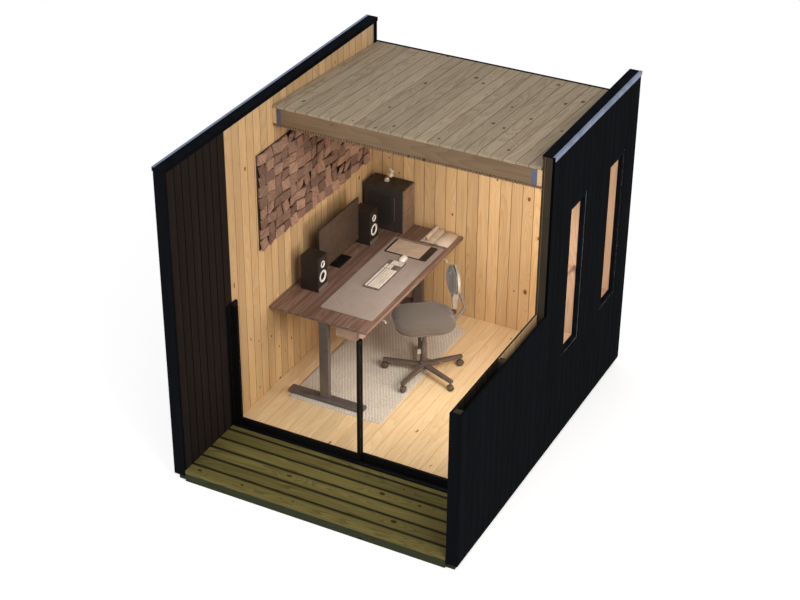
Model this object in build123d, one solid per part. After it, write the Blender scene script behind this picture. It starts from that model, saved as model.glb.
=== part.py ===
from build123d import *
from math import cos, degrees, radians, sin, tan
import os

# Garden office pod, shown as a cutaway: the front half of its roof, the top of its
# glazed front and the top of its right wall's front half are absent.
# Millimetres. +X is right, -Y is the open front with the deck, +Z is up.
# The origin is on the ground, under the middle of the pod.

# ---- driving dimensions: the shell ----
pod_width = 2200.0
pod_depth = 2860.0
base_height = 45.0
wall_height = 2400.0
clad_thick = 19.0
frame_thick = 50.0
lining_thick = 18.0
trim_thick = 18.0
stud_width = 45.0
low_wall_height = 1200.0
kept_depth = 1545.0
lining_start = 700.0

# caps over the side walls
cap_thick = 10.0
cap_leg_thick = 4.0
cap_leg_drop = 22.0
cap_overhang = 4.0
edge_strip_thick = 2.0
edge_strip_width = 16.0
edge_leg_drop = 32.0

# roof
roof_pitch = 3.7
roof_back_drop = 194.0
roof_back_setback = 8.0
roof_board_thick = 20.0
roof_joist_height = 115.0
roof_joist_width = 45.0
roof_joist_pitch = 400.0
ceiling_thick = 22.0
roof_side_gap = 1.0
hanger_thick = 2.0
hanger_face_width = 34.0
back_trim_thick = 12.0
back_trim_lip = 6.0
roof_rail_width = 36.0

# base, floor and deck
bearer_width = 95.0
bearer_count = 4
base_inset = 27.0
floor_panel_thick = 28.0
floor_board_thick = 20.0
deck_depth = 626.0
deck_board_thick = 28.0
deck_pitch = 118.0
deck_gap = 6.0
deck_lift = 2.0
deck_first_board = 100.0
deck_side_gap = 3.0
deck_joist_width = 60.0
deck_joist_count = 5
fascia_thick = 20.0
fascia_lift = 5.0

# glazed sliding front
sill_depth = 119.0
sill_lip_height = 14.0
front_lip_width = 23.0
jamb_width = 20.0
glazing_height = 1050.0
leaf_thick = 22.0
leaf_gap = 6.0
leaf_offset = 29.0
side_stile_width = 47.0
meeting_stile_width = 22.0
leaf_rail_height = 55.0
leaf_glass_thick = 6.0
track_rib_width = 6.0
track_rib_height = 6.0
track_clearance = 0.3
door_end_gap = 5.0
door_open_gap = 20.0

# windows in the right wall
window_clear_width = 222.0
window_clear_height = 1116.0
window_face_width = 30.0
window_frame_depth = 30.0
window_liner_thick = 26.0
window_ledge_front = 14.0
window_ledge_depth = 32.0
window_ledge_height = 38.0
window_ledge_rise = 557.0
window_bottom = 740.0
window_back_gap = 180.0
window_pitch = 707.0
window_glass_thick = 6.0
window_glass_inset = 24.0

# desk
desk_width = 800.0
desk_length = 1587.0
desk_height = 715.0
desk_thick = 25.0
desk_side_gap = 6.0
desk_back_gap = 2.0
leg_column_width = 75.0
leg_column_depth = 42.0
leg_column_place = 400.0
leg_foot_length = 620.0
leg_foot_width = 80.0
leg_foot_height = 28.0
leg_foot_place = 140.0
leg_arm_height = 10.0
leg_arm_width = 30.0
leg_overhang = 8.0
rail_width = 40.0
rail_height = 38.0
drawer_width = 196.0
drawer_length = 420.0
drawer_height = 113.0
drawer_edge_gap = 87.0
hook_plate_thick = 4.0
hook_plate_width = 14.0
hook_root = 24.0
hook_reach = 27.0
hook_drop = 16.0
hook_knob_radius = 7.0
near_hook_back_gap = 1346.0
far_hook_back_gap = 345.0

# office chair
chair_from_desk_left = 917.0
chair_from_desk_back = 896.0
chair_turn = -94.0
seat_turn = 35.0
chair_arm_count = 5
chair_reach = 316.0
chair_hub_radius = 36.0
chair_hub_height = 62.0
chair_hub_bottom = 58.0
chair_arm_root = 44.0
chair_arm_tip = 30.0
chair_arm_thick = 26.0
caster_radius = 25.0
caster_width = 34.0
caster_stem_radius = 7.0
gas_column_radius = 21.0
gas_column_top = 452.0
plate_length = 230.0
plate_width = 150.0
plate_thick = 22.0
lever_reach = 47.0
lever_thick = 22.0
lever_width = 18.0
lever_drop = 225.0
paddle_thick = 28.0
paddle_width = 24.0
paddle_height = 42.0
seat_length = 462.0
seat_width = 444.0
seat_forward = 6.0
seat_thick = 68.0
seat_corner = 150.0
seat_top_edge = 27.0
seat_low_edge = 38.0
back_width = 260.0
back_height = 188.0
back_thick = 60.0
back_corner = 86.0
back_front_edge = 27.0
back_rear_edge = 6.0
back_centre_height = 814.0
back_offset = 192.0
back_shell_thick = 22.0
back_shell_inset = 4.0
back_shell_edge = 8.0
stem_top_width = 96.0
stem_bottom_width = 40.0
stem_depth = 44.0
stem_foot_depth = 22.0
stem_drop = 150.0
stem_shoulder = 34.0
boss_radius = 17.0
boss_drop = 108.0
boss_stand = 12.5
boss_sink = 2.0
tube_radius = 13.0
tube_bend = 70.0
tube_low_drop = 24.0
tube_foot_reach = 205.0
tube_bow_reach = 306.0
tube_bow_height = 562.0
soft_clearance = 0.3
cut_margin = 1.0

# rug and wall panel
rug_left_gap = 162.0
rug_back_gap = 170.0
rug_width = 775.0
rug_length = 1470.0
rug_thick = 6.0
panel_back_gap = 73.0
panel_length = 1620.0
panel_desk_gap = 507.0
panel_ceiling_gap = 44.0
panel_thick = 34.0

# things on the desk, placed from its left and back edges
screen_width = 612.0
screen_height = 365.0
screen_thick = 22.0
screen_front = 137.0
screen_from_back = 786.0
screen_lift = 45.0
stand_width = 190.0
stand_depth = 150.0
stand_thick = 8.0
stand_neck_width = 60.0
stand_neck_thick = 20.0
stand_front = 191.0
speaker_depth = 152.0
speaker_width = 134.0
speaker_height = 280.0
speaker_front = 230.0
near_speaker_gap = 44.0
far_speaker_gap = 8.0
mat_left = 334.0
mat_back_gap = 251.0
mat_width = 426.0
mat_length = 1184.0
mat_thick = 3.0
book_x = 653.0
book_back_gap = 14.0
book_width = 235.0
book_length = 205.0
book_spine = 12.0
book_belly = 24.0
book_edge = 5.0
pad_x = 541.0
pad_gap = 57.0
pad_width = 353.0
pad_length = 220.0
pad_thick = 9.0
mouse_x = 557.0
mouse_gap = 7.0
mouse_width = 60.0
mouse_length = 90.0
mouse_height = 34.0
mouse_edge = 15.0
keyboard_x = 541.0
keyboard_gap = 7.0
keyboard_width = 135.0
keyboard_length = 440.0
keyboard_height = 20.0
cabinet_left_gap = 27.0
cabinet_width = 350.0
cabinet_depth = 185.0
cabinet_height = 375.0
cabinet_front_thick = 16.0
cabinet_front_gap = 4.0
cabinet_back_gap = 3.0
ornament_left_gap = 172.0
ornament_back_gap = 85.0
ornament_base_radius = 22.0
ornament_base_thick = 4.0
ornament_foot_radius = 17.0
ornament_body_radius = 19.0
ornament_body_side = 35.0
ornament_body_rise = 57.0
ornament_leaf_radius = 9.0
ornament_leaf_length = 44.0
ornament_leaf_rise = 41.0
ornament_leaf_lean = 30.0
ornament_neck_radius = 6.0
ornament_sink = 3.0

# ---- planes worked out from the driving dimensions ----
left_x = -pod_width / 2
right_x = pod_width / 2
front_y = -pod_depth / 2
back_y = pod_depth / 2
wall_thick = clad_thick + frame_thick + lining_thick
inner_left = left_x + wall_thick
inner_right = right_x - wall_thick
back_lining_face = back_y - wall_thick
back_frame_face = back_lining_face + lining_thick
back_clad_face = back_y - clad_thick
clad_front = front_y + trim_thick
cut_y = back_y - kept_depth
lining_y = front_y + lining_start
wall_bottom = base_height
wall_top = base_height + wall_height
clad_top = wall_top - edge_strip_thick - cap_thick
low_top = base_height + low_wall_height
floor_top = base_height + floor_panel_thick + floor_board_thick
deck_top = floor_top + deck_lift
sill_front = front_y + deck_depth
sill_back = sill_front + sill_depth
roof_back_y = back_y - roof_back_setback
desk_top_z = floor_top + desk_height
desk_left = inner_left + desk_side_gap
desk_back = back_lining_face - desk_back_gap
desk_front = desk_back - desk_length
chair_x = desk_left + chair_from_desk_left
chair_y = desk_back - chair_from_desk_back
rug_left = desk_left + rug_left_gap
rug_front = desk_back - rug_back_gap - rug_length
rug_top = floor_top + rug_thick


def roof_under(y, depth):
    """Height of the plane that lies depth below the roof's top, at y."""
    back_top = wall_top - roof_back_drop
    return back_top + (roof_back_y - y) * tan(radians(roof_pitch)) - depth


def block(x0, x1, y0, y1, z0, z1):
    """A box between two corners."""
    middle = Pos((x0 + x1) / 2, (y0 + y1) / 2, (z0 + z1) / 2)
    return middle * Box(x1 - x0, y1 - y0, z1 - z0)


def sloped(x0, x1, y0, y1, upper, lower):
    """A slab or joist along the roof's slope, between two depths below its top."""
    corners = [
        (y0, roof_under(y0, lower)),
        (y1, roof_under(y1, lower)),
        (y1, roof_under(y1, upper)),
        (y0, roof_under(y0, upper)),
    ]
    outline = Plane.YZ * make_face(Polyline(*corners, close=True))
    return Pos(x0, 0, 0) * extrude(outline, amount=x1 - x0, dir=(1, 0, 0))


def spread(low, high, count):
    """Centres of equally spaced pieces, the first at low and the last at high."""
    return [low + (high - low) * i / (count - 1) for i in range(count)]


def write(node, *solids):
    """One STEP file for one node."""
    shape = solids[0] if len(solids) == 1 else Compound(children=list(solids))
    export_step(shape, f"parts/{node}.step")


# ---- base, floor and deck ----
def make_base():
    low_x = left_x + base_inset
    high_x = right_x - base_inset
    front_face = front_y + fascia_thick
    back_face = back_y - base_inset
    half = bearer_width / 2
    bearers = []
    for x in spread(low_x + half, high_x - half, bearer_count):
        bearers.append(block(x - half, x + half, front_face + stud_width, back_face - stud_width,
                             0, base_height))
    write("base_bearers", *bearers)
    front_board = block(low_x, high_x, front_face, front_face + stud_width, 0, base_height)
    back_board = block(low_x, high_x, back_face - stud_width, back_face, 0, base_height)
    write("base_end_boards", front_board, back_board)


def make_floor():
    panel_top = base_height + floor_panel_thick
    write("floor_panel",
          block(inner_left, inner_right, sill_front, back_lining_face, base_height, panel_top))
    write("floor_boards",
          block(inner_left, inner_right, sill_back, back_lining_face, panel_top, floor_top))


def make_deck():
    under = deck_top - deck_board_thick
    low_x = inner_left + deck_side_gap
    high_x = inner_right - deck_side_gap
    boards = []
    start = front_y
    finish = front_y + deck_first_board - deck_gap / 2
    while start < sill_front - deck_gap:
        boards.append(block(low_x, high_x, start, min(finish, sill_front), under, deck_top))
        start = finish + deck_gap
        finish = start + deck_pitch - deck_gap
    write("deck_boards", *boards)
    half = deck_joist_width / 2
    joists = []
    for x in spread(low_x + half, high_x - half, deck_joist_count):
        joists.append(block(x - half, x + half, front_y + fascia_thick, sill_front, base_height, under))
    write("deck_joists", *joists)
    write("deck_fascia", block(low_x, high_x, front_y, front_y + fascia_thick, fascia_lift, under))


# ---- walls ----
def window_starts():
    """Near edge of each window's frame along Y."""
    second = back_lining_face - window_back_gap - window_clear_width - window_face_width
    return [second - window_pitch, second]


def window_size():
    """Width and height of the hole that a window's frame fills."""
    width = window_clear_width + 2 * window_face_width
    height = window_clear_height + 2 * window_face_width
    return width, height


def window_base():
    return base_height + window_bottom - window_face_width


def cut_windows(wall, x0, x1):
    width, height = window_size()
    for y in window_starts():
        wall -= block(x0 - cut_margin, x1 + cut_margin, y, y + width,
                      window_base(), window_base() + height)
    return wall


def make_left_wall():
    frame_x = left_x + clad_thick
    lining_x = frame_x + frame_thick
    write("left_wall_cladding",
          block(left_x, frame_x, clad_front, back_clad_face, wall_bottom, clad_top))
    write("left_wall_frame",
          block(frame_x, lining_x, clad_front, back_clad_face, wall_bottom, clad_top))
    write("left_wall_lining",
          block(lining_x, inner_left, lining_y, back_frame_face, wall_bottom, clad_top))


def make_back_wall():
    low_x = left_x + clad_thick + frame_thick
    high_x = right_x - clad_thick - frame_thick
    clad_height = roof_under(back_y, roof_board_thick)
    frame_height = roof_under(back_clad_face, roof_board_thick)
    lining_height = roof_under(back_frame_face, roof_board_thick)
    write("back_wall_cladding", block(left_x, right_x, back_clad_face, back_y, wall_bottom, clad_height))
    write("back_wall_frame",
          block(low_x, high_x, back_frame_face, back_clad_face, wall_bottom, frame_height))
    write("back_wall_lining",
          block(inner_left, inner_right, back_lining_face, back_frame_face, wall_bottom, lining_height))


def make_right_wall():
    frame_x = right_x - clad_thick
    lining_x = frame_x - frame_thick
    cladding = block(frame_x, right_x, clad_front, cut_y, wall_bottom, low_top)
    cladding += block(frame_x, right_x, cut_y, back_clad_face, wall_bottom, clad_top)
    write("right_wall_cladding", cut_windows(cladding, frame_x, right_x))
    lining = block(inner_right, lining_x, lining_y, cut_y, wall_bottom, low_top)
    lining += block(inner_right, lining_x, cut_y, back_frame_face, wall_bottom, clad_top)
    write("right_wall_lining", cut_windows(lining, inner_right, lining_x))
    write("right_wall_studs", *make_right_studs(lining_x, frame_x))


def make_right_studs(x0, x1):
    studs = []
    for y in (clad_front, lining_y - stud_width / 2):
        studs.append(block(x0, x1, y, y + stud_width, wall_bottom, low_top))
    for y in (cut_y, back_clad_face - stud_width):
        studs.append(block(x0, x1, y, y + stud_width, wall_bottom, clad_top))
    width, height = window_size()
    for y in window_starts():
        sill = window_base()
        frame = block(x0, x1, y - stud_width, y, wall_bottom, clad_top)
        frame += block(x0, x1, y + width, y + width + stud_width, wall_bottom, clad_top)
        frame += block(x0, x1, y, y + width, sill - stud_width, sill)
        frame += block(x0, x1, y, y + width, sill + height, sill + height + stud_width)
        studs.append(frame)
    return studs


def make_wings():
    """The porch side of both wing walls, and the boards that close the walls' ends."""
    left = block(inner_left - lining_thick, inner_left, clad_front, lining_y, wall_bottom, clad_top)
    right = block(inner_right, inner_right + lining_thick, clad_front, lining_y, wall_bottom, low_top)
    write("wing_cladding", left, right)
    ear = roof_under(back_y, roof_board_thick)
    write("wall_end_trims",
          block(left_x, inner_left, front_y, clad_front, wall_bottom, clad_top),
          block(inner_right, right_x, front_y, clad_front, wall_bottom, low_top),
          block(left_x, inner_left, back_clad_face, back_y, ear, clad_top),
          block(inner_right, right_x, back_clad_face, back_y, ear, clad_top))


def make_caps():
    """The black capping over each side wall, with a metal drip edge on its outer side."""
    caps = []
    edges = []
    plate_top = wall_top - edge_strip_thick
    for side, y0 in ((-1, front_y - cap_overhang), (1, cut_y)):
        y1 = back_y + cap_overhang
        outer = side * pod_width / 2
        inner = outer - side * (wall_thick + cap_leg_thick)
        face = outer - side * wall_thick
        cap = block(min(outer, inner), max(outer, inner), y0, y1, clad_top, plate_top)
        cap += block(min(face, inner), max(face, inner), y0, y1, clad_top - cap_leg_drop, plate_top)
        caps.append(cap)
        lip = outer + side * cap_overhang
        strip = outer - side * edge_strip_width
        edge = block(min(lip, strip), max(lip, strip), y0, y1, plate_top, wall_top)
        edge += block(min(lip, outer), max(lip, outer), y0, y1, wall_top - edge_leg_drop, wall_top)
        edges.append(edge)
    write("wall_caps", *caps)
    write("cap_drip_edges", *edges)


# ---- roof ----
def roof_joist_starts():
    """Front face of each joist: spaced from the cut, with the last one against the back wall."""
    last = back_lining_face - roof_joist_width
    starts = []
    y = cut_y
    while y < last - 2 * roof_joist_width:
        starts.append(y)
        y += roof_joist_pitch
    return starts + [last]


def make_roof():
    low_x = inner_left + roof_side_gap + cap_leg_thick
    high_x = inner_right - roof_side_gap - cap_leg_thick
    rail_left = inner_left + roof_rail_width
    rail_right = inner_right - roof_rail_width
    joist_under = roof_board_thick + roof_joist_height
    write("roof_boards", sloped(low_x, high_x, cut_y, roof_back_y, 0, roof_board_thick))
    joists = []
    hangers = []
    for y in roof_joist_starts():
        joists.append(sloped(rail_left + hanger_thick, rail_right - hanger_thick, y,
                             y + roof_joist_width, roof_board_thick, joist_under))
    write("roof_joists", *joists)
    write("roof_side_rails",
          sloped(inner_left, rail_left, cut_y, back_lining_face, roof_board_thick, joist_under),
          sloped(rail_right, inner_right, cut_y, back_lining_face, roof_board_thick, joist_under))
    front = cut_y - hanger_thick
    top = roof_board_thick + hanger_thick
    for x0, x1 in ((rail_left, rail_left + hanger_face_width),
                   (rail_right - hanger_face_width, rail_right)):
        strap = sloped(x0, x1, front, cut_y, top, joist_under)
        side_low = x0 if x0 < 0 else x1 - hanger_thick
        strap += sloped(side_low, side_low + hanger_thick, front, cut_y + roof_joist_width,
                        top, joist_under)
        hangers.append(strap)
    write("joist_hangers", *hangers)
    write("ceiling_boards", sloped(low_x, high_x, cut_y, back_lining_face, joist_under,
                                   joist_under + ceiling_thick))
    write("roof_back_trim", block(inner_left, inner_right, roof_back_y, roof_back_y + back_trim_thick,
                                  roof_under(back_y, roof_board_thick),
                                  roof_under(roof_back_y, 0) + back_trim_lip))


# ---- windows ----
def make_windows():
    width, height = window_size()
    glass_x = right_x - window_glass_inset
    frames = []
    panes = []
    liners = []
    for y in window_starts():
        z = window_base()
        frame = block(right_x - window_frame_depth, right_x, y, y + width, z, z + height)
        y0 = y + window_face_width
        y1 = y + width - window_face_width
        z0 = z + window_face_width
        z1 = z + height - window_face_width
        frame -= block(right_x - window_frame_depth - cut_margin, right_x + cut_margin, y0, y1, z0, z1)
        frames.append(frame)
        panes.append(block(glass_x - window_glass_thick, glass_x, y0, y1, z0, z1))
        inner = right_x - window_frame_depth
        liner = block(inner_right, inner, y, y + width, z, z + height)
        thick = window_liner_thick
        liner -= block(inner_right - cut_margin, inner + cut_margin, y + thick, y + width - thick,
                       z + thick, z + height - thick)
        liners.append(liner)
    ledge_y = window_starts()[0] + window_liner_thick
    ledge_x = right_x - window_frame_depth - window_ledge_front
    ledge_z = window_base() + window_ledge_rise
    ledge_end = window_starts()[0] + window_size()[0] - window_liner_thick
    liners[0] += block(ledge_x - window_ledge_depth, ledge_x, ledge_y, ledge_end,
                       ledge_z, ledge_z + window_ledge_height)
    write("window_frames", *frames)
    write("window_liners", *liners)
    write("window_glass", *panes)


# ---- the glazed sliding front ----
def leaf_y(track):
    """Front and back faces of a leaf: track 0 is the outer one, track 1 the inner one."""
    start = sill_front + leaf_offset + track * (leaf_thick + leaf_gap)
    return start, start + leaf_thick


def make_leaf(name, x0, x1, left_stile, right_stile, track, z0):
    y0, y1 = leaf_y(track)
    top = base_height + glazing_height
    stiles = [(x0, x0 + left_stile), (x1 - right_stile, x1)]
    frame = block(stiles[0][1], stiles[1][0], y0, y1, z0, z0 + leaf_rail_height)
    for low, high in stiles:
        frame += block(low, high, y0, y1, z0, top)
    write(name + "_frame", frame)
    middle = (y0 + y1) / 2
    write(name + "_glass", block(stiles[0][1], stiles[1][0], middle - leaf_glass_thick / 2,
                                 middle + leaf_glass_thick / 2, z0 + leaf_rail_height, top))


def make_glazing():
    low_x = inner_left + jamb_width
    high_x = inner_right - jamb_width
    under = base_height + floor_panel_thick
    lip_top = floor_top + sill_lip_height
    back_lip = leaf_y(1)[1] + leaf_gap
    sill = block(low_x, high_x, sill_front, sill_back, under, floor_top)
    sill += block(low_x, high_x, sill_front, sill_front + front_lip_width, floor_top, lip_top)
    sill += block(low_x, high_x, back_lip, sill_back, floor_top, floor_top + track_rib_height)
    for track in (0, 1):
        middle = sum(leaf_y(track)) / 2
        sill += block(low_x, high_x, middle - track_rib_width / 2, middle + track_rib_width / 2,
                      floor_top, floor_top + track_rib_height)
    write("door_sill", sill)
    top = base_height + glazing_height
    write("door_jambs",
          block(inner_left, low_x, sill_front, sill_back, under, top),
          block(high_x, inner_right, sill_front, sill_back, under, top))
    seat = floor_top + track_rib_height
    make_leaf("fixed_leaf", low_x, meeting_stile_width, side_stile_width, meeting_stile_width, 0, seat)
    make_leaf("sliding_leaf", 0, high_x - door_end_gap, meeting_stile_width, side_stile_width, 1,
              seat + track_clearance)


# ---- desk ----
def make_hook(edge_x, y, under):
    """A bag hook screwed under the desk's edge, which ends in a knob."""
    tip = edge_x + hook_reach
    low = under - hook_drop
    hook = block(edge_x - hook_root, tip, y - hook_plate_width / 2, y + hook_plate_width / 2,
                 under - hook_plate_thick, under)
    hook += block(tip - hook_plate_thick, tip, y - hook_plate_width / 2, y + hook_plate_width / 2,
                  low, under)
    return hook + Pos(tip, y, low) * Sphere(hook_knob_radius)


def make_desk():
    desk_right = desk_left + desk_width
    under = desk_top_z - desk_thick
    write("desk_top", block(desk_left, desk_right, desk_front, desk_back, under, desk_top_z))
    foot_x = desk_left + leg_foot_place
    column_x = desk_left + leg_column_place
    arm_under = under - leg_arm_height
    legs = []
    fronts = (desk_front - leg_overhang, desk_back - leg_foot_width)
    for foot_y in fronts:
        middle = foot_y + leg_foot_width / 2
        leg = block(foot_x, foot_x + leg_foot_length, foot_y, foot_y + leg_foot_width,
                    rug_top, rug_top + leg_foot_height)
        leg += block(column_x, column_x + leg_column_width, middle - leg_column_depth / 2,
                     middle + leg_column_depth / 2, rug_top, under)
        leg += block(foot_x, foot_x + leg_foot_length, middle - leg_arm_width / 2,
                     middle + leg_arm_width / 2, arm_under, under)
        legs.append(leg)
    write("desk_legs", *legs)
    rail_x = column_x + leg_column_width / 2
    rail_front = fronts[0] + (leg_foot_width + leg_column_depth) / 2
    rail_back = fronts[1] + (leg_foot_width - leg_column_depth) / 2
    rail = block(rail_x - rail_width / 2, rail_x + rail_width / 2, rail_front, rail_back,
                 under - rail_height, under)
    hooks = []
    for gap in (near_hook_back_gap, far_hook_back_gap):
        hooks.append(make_hook(desk_right, desk_back - gap, under))
    write("desk_rail", rail, *hooks)
    right = desk_right - drawer_edge_gap
    write("desk_drawer", block(right - drawer_width, right, rail_front, rail_front + drawer_length,
                               under - drawer_height, under))


# ---- chair ----
def chair_place(x, y, z):
    return Pos(chair_x, chair_y, 0) * Pos(x, y, z)


def make_chair():
    hub_bottom = floor_top + chair_hub_bottom
    hub_top = hub_bottom + chair_hub_height
    base = chair_place(0, 0, (hub_bottom + hub_top) / 2) * Cylinder(chair_hub_radius, chair_hub_height)
    casters = []
    for i in range(chair_arm_count):
        turn = Rot(0, 0, chair_turn + i * 360 / chair_arm_count)
        outline = make_face(Polyline((0, -chair_arm_root / 2), (chair_reach, -chair_arm_tip / 2),
                                     (chair_reach, chair_arm_tip / 2), (0, chair_arm_root / 2),
                                     close=True))
        arm_z = hub_bottom + chair_arm_thick / 2
        base += chair_place(0, 0, arm_z) * turn * extrude(outline, amount=chair_arm_thick)
        angle = radians(chair_turn + i * 360 / chair_arm_count)
        reach = chair_reach - chair_arm_tip / 2
        x = chair_x + reach * cos(angle)
        y = chair_y + reach * sin(angle)
        casters.append(make_caster(x, y, angle, arm_z))
    write("chair_base", base)
    write("chair_casters", *casters)
    make_chair_column(hub_top)
    make_chair_seat()
    make_chair_back()


def over_rug(x, y):
    return rug_left < x < rug_left + rug_width and rug_front < y < rug_front + rug_length


def make_caster(x, y, angle, arm_z):
    """A caster under an arm's end: it stands on the rug or on the bare floor."""
    ground = rug_top if over_rug(x, y) else floor_top
    wheel = Rot(0, 0, degrees(angle)) * Rot(90, 0, 0) * Cylinder(caster_radius, caster_width)
    stem_low = ground + caster_radius
    stem = Pos(x, y, (stem_low + arm_z) / 2) * Cylinder(caster_stem_radius, arm_z - stem_low)
    return Pos(x, y, ground + caster_radius) * wheel + stem


def seat_place(x, y, z):
    """A place that turns with the seat: x points to the back rest."""
    return chair_place(0, 0, 0) * Rot(0, 0, seat_turn) * Pos(x, y, z)


def make_chair_column(hub_top):
    top = floor_top + gas_column_top
    column = chair_place(0, 0, (hub_top + top) / 2) * Cylinder(gas_column_radius, top - hub_top)
    plate = seat_place(0, 0, top - plate_thick / 2) * Box(plate_length, plate_width, plate_thick)
    lever_low = top - lever_drop
    lever_back = lever_thick - lever_reach
    lever = block(-lever_reach, lever_back, -lever_width / 2, lever_width / 2, lever_low, top)
    paddle = block(lever_back - paddle_thick, lever_back, -paddle_width / 2, paddle_width / 2,
                   lever_low - paddle_height, lever_low)
    write("chair_column", column + plate + seat_place(0, 0, 0) * (lever + paddle))


def make_chair_seat():
    bottom = floor_top + gas_column_top + soft_clearance
    pad = extrude(RectangleRounded(seat_length, seat_width, seat_corner), amount=seat_thick)
    pad = fillet(pad.edges().group_by(Axis.Z)[-1], seat_top_edge)
    pad = fillet(pad.edges().group_by(Axis.Z)[0], seat_low_edge)
    write("chair_seat", seat_place(-seat_forward, 0, bottom) * pad)


def upright_pad(width, height, corner, thick):
    """An oval pad that stands up: its thickness runs from 0 along X."""
    pad = extrude(RectangleRounded(width, height, corner), amount=thick)
    return Rot(0, 0, 90) * Rot(90, 0, 0) * pad


def make_stem(front, back, centre_z):
    """The flat bar that narrows from the back shell down to the seat's rear."""
    pad_low = centre_z - back_height / 2
    foot = centre_z - back_height / 2 - stem_drop
    side = [
        (front, centre_z),
        (back, centre_z),
        (back, pad_low - stem_shoulder),
        (back - stem_foot_depth / 2, foot),
        (back - stem_foot_depth / 2 - stem_foot_depth, foot),
        (back - stem_depth, pad_low - 2 * stem_shoulder),
        (back - stem_depth, pad_low - stem_shoulder),
        (front, pad_low - soft_clearance),
    ]
    bar = extrude(Plane.XZ * make_face(Polyline(*side, close=True)), amount=stem_top_width / 2, both=True)
    face = make_face(Polyline((-stem_bottom_width / 2, foot), (stem_bottom_width / 2, foot),
                              (stem_top_width / 2, centre_z), (-stem_top_width / 2, centre_z), close=True))
    taper = Pos(back - stem_depth, 0, 0) * extrude(Plane.YZ * face, amount=stem_depth, dir=(1, 0, 0))
    return bar & taper


def make_chair_back():
    centre_z = floor_top + back_centre_height
    face = back_offset - back_thick / 2
    pad = upright_pad(back_width, back_height, back_corner, back_thick)
    pad = fillet(pad.edges().group_by(Axis.X)[0], back_front_edge)
    pad = fillet(pad.edges().group_by(Axis.X)[-1], back_rear_edge)
    write("chair_back", seat_place(face, 0, centre_z) * pad)
    shell_front = back_offset + back_thick / 2 + soft_clearance
    shell_back = shell_front + back_shell_thick
    smaller = 2 * back_shell_inset
    shell = upright_pad(back_width - smaller, back_height - smaller,
                        back_corner - back_shell_inset, back_shell_thick)
    shell = Pos(shell_front, 0, centre_z) * fillet(shell.edges().group_by(Axis.X)[-1], back_shell_edge)
    shell += make_stem(shell_front, shell_back, centre_z)
    low_line = floor_top + gas_column_top - tube_low_drop
    neck_x = shell_back + boss_stand
    route = FilletPolyline((plate_length / 2, 0, low_line), (tube_foot_reach, 0, low_line),
                           (tube_bow_reach, 0, floor_top + tube_bow_height),
                           (neck_x, 0, centre_z - boss_drop), radius=tube_bend)
    lean = route % 1
    boss_length = (boss_stand + boss_sink) / -lean.X
    boss = Plane(origin=route @ 1, z_dir=lean) * Pos(0, 0, boss_length / 2) * Cylinder(boss_radius,
                                                                                       boss_length)
    write("chair_back_shell", seat_place(0, 0, 0) * (shell + boss))
    ring = Plane(origin=route @ 0, z_dir=route % 0) * Circle(tube_radius)
    write("chair_back_tube", seat_place(0, 0, 0) * sweep(ring, path=route))


# ---- rug and wall panel ----
def make_soft_and_panel():
    write("rug", block(rug_left, rug_left + rug_width, rug_front, rug_front + rug_length,
                       floor_top, rug_top))
    high_y = back_lining_face - panel_back_gap
    high_z = roof_under(high_y, roof_board_thick + roof_joist_height + ceiling_thick) - panel_ceiling_gap
    write("wall_panel", block(inner_left, inner_left + panel_thick, high_y - panel_length, high_y,
                              desk_top_z + panel_desk_gap, high_z))


# ---- things on the desk ----
def make_screen():
    front = desk_left + screen_front
    y = desk_back - screen_from_back
    bottom = desk_top_z + screen_lift
    half = screen_width / 2
    write("monitor_screen", block(front - screen_thick, front, y - half, y + half,
                                  bottom, bottom + screen_height))
    foot_front = desk_left + stand_front
    foot = block(foot_front - stand_depth, foot_front, y - stand_width / 2, y + stand_width / 2,
                 desk_top_z, desk_top_z + stand_thick)
    neck_front = front - screen_thick
    neck = block(neck_front - stand_neck_thick, neck_front, y - stand_neck_width / 2,
                 y + stand_neck_width / 2, desk_top_z, bottom + screen_height / 2)
    write("monitor_stand", foot + neck)


def make_speakers():
    """A loudspeaker on each side of the screen."""
    front = desk_left + speaker_front
    screen_y = desk_back - screen_from_back
    near = screen_y - screen_width / 2 - near_speaker_gap - speaker_width
    far = screen_y + screen_width / 2 + far_speaker_gap
    cabinets = []
    for y in (near, far):
        cabinets.append(block(front - speaker_depth, front, y, y + speaker_width,
                              desk_top_z, desk_top_z + speaker_height))
    write("speakers", *cabinets)


def flat_thing(node, x, back, width, length, bottom, height):
    """A flat thing whose middle is x from the desk's left edge and whose far side is at back."""
    middle = desk_left + x
    write(node, block(middle - width / 2, middle + width / 2, back - length, back,
                      bottom, bottom + height))


def make_mouse(back, bottom):
    body = extrude(Ellipse(mouse_width / 2, mouse_length / 2), amount=mouse_height)
    body = fillet(body.edges().group_by(Axis.Z)[-1], mouse_edge)
    write("mouse", Pos(desk_left + mouse_x, back - mouse_length / 2, bottom) * body)


def make_book(back):
    """An open book: two halves that swell between the spine and the fore edge."""
    half = book_width / 2
    upper = Spline((-half, book_edge), (-half / 2, book_belly), (0, book_spine))
    second = Spline((0, book_spine), (half / 2, book_belly), (half, book_edge))
    floor_line = Polyline((half, book_edge), (half, 0), (-half, 0), (-half, book_edge))
    outline = make_face(upper + second + floor_line)
    pages = extrude(Plane.XZ * outline, amount=book_length / 2, both=True)
    write("open_book", Pos(desk_left + book_x, back - book_length / 2, desk_top_z) * pages)


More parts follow.
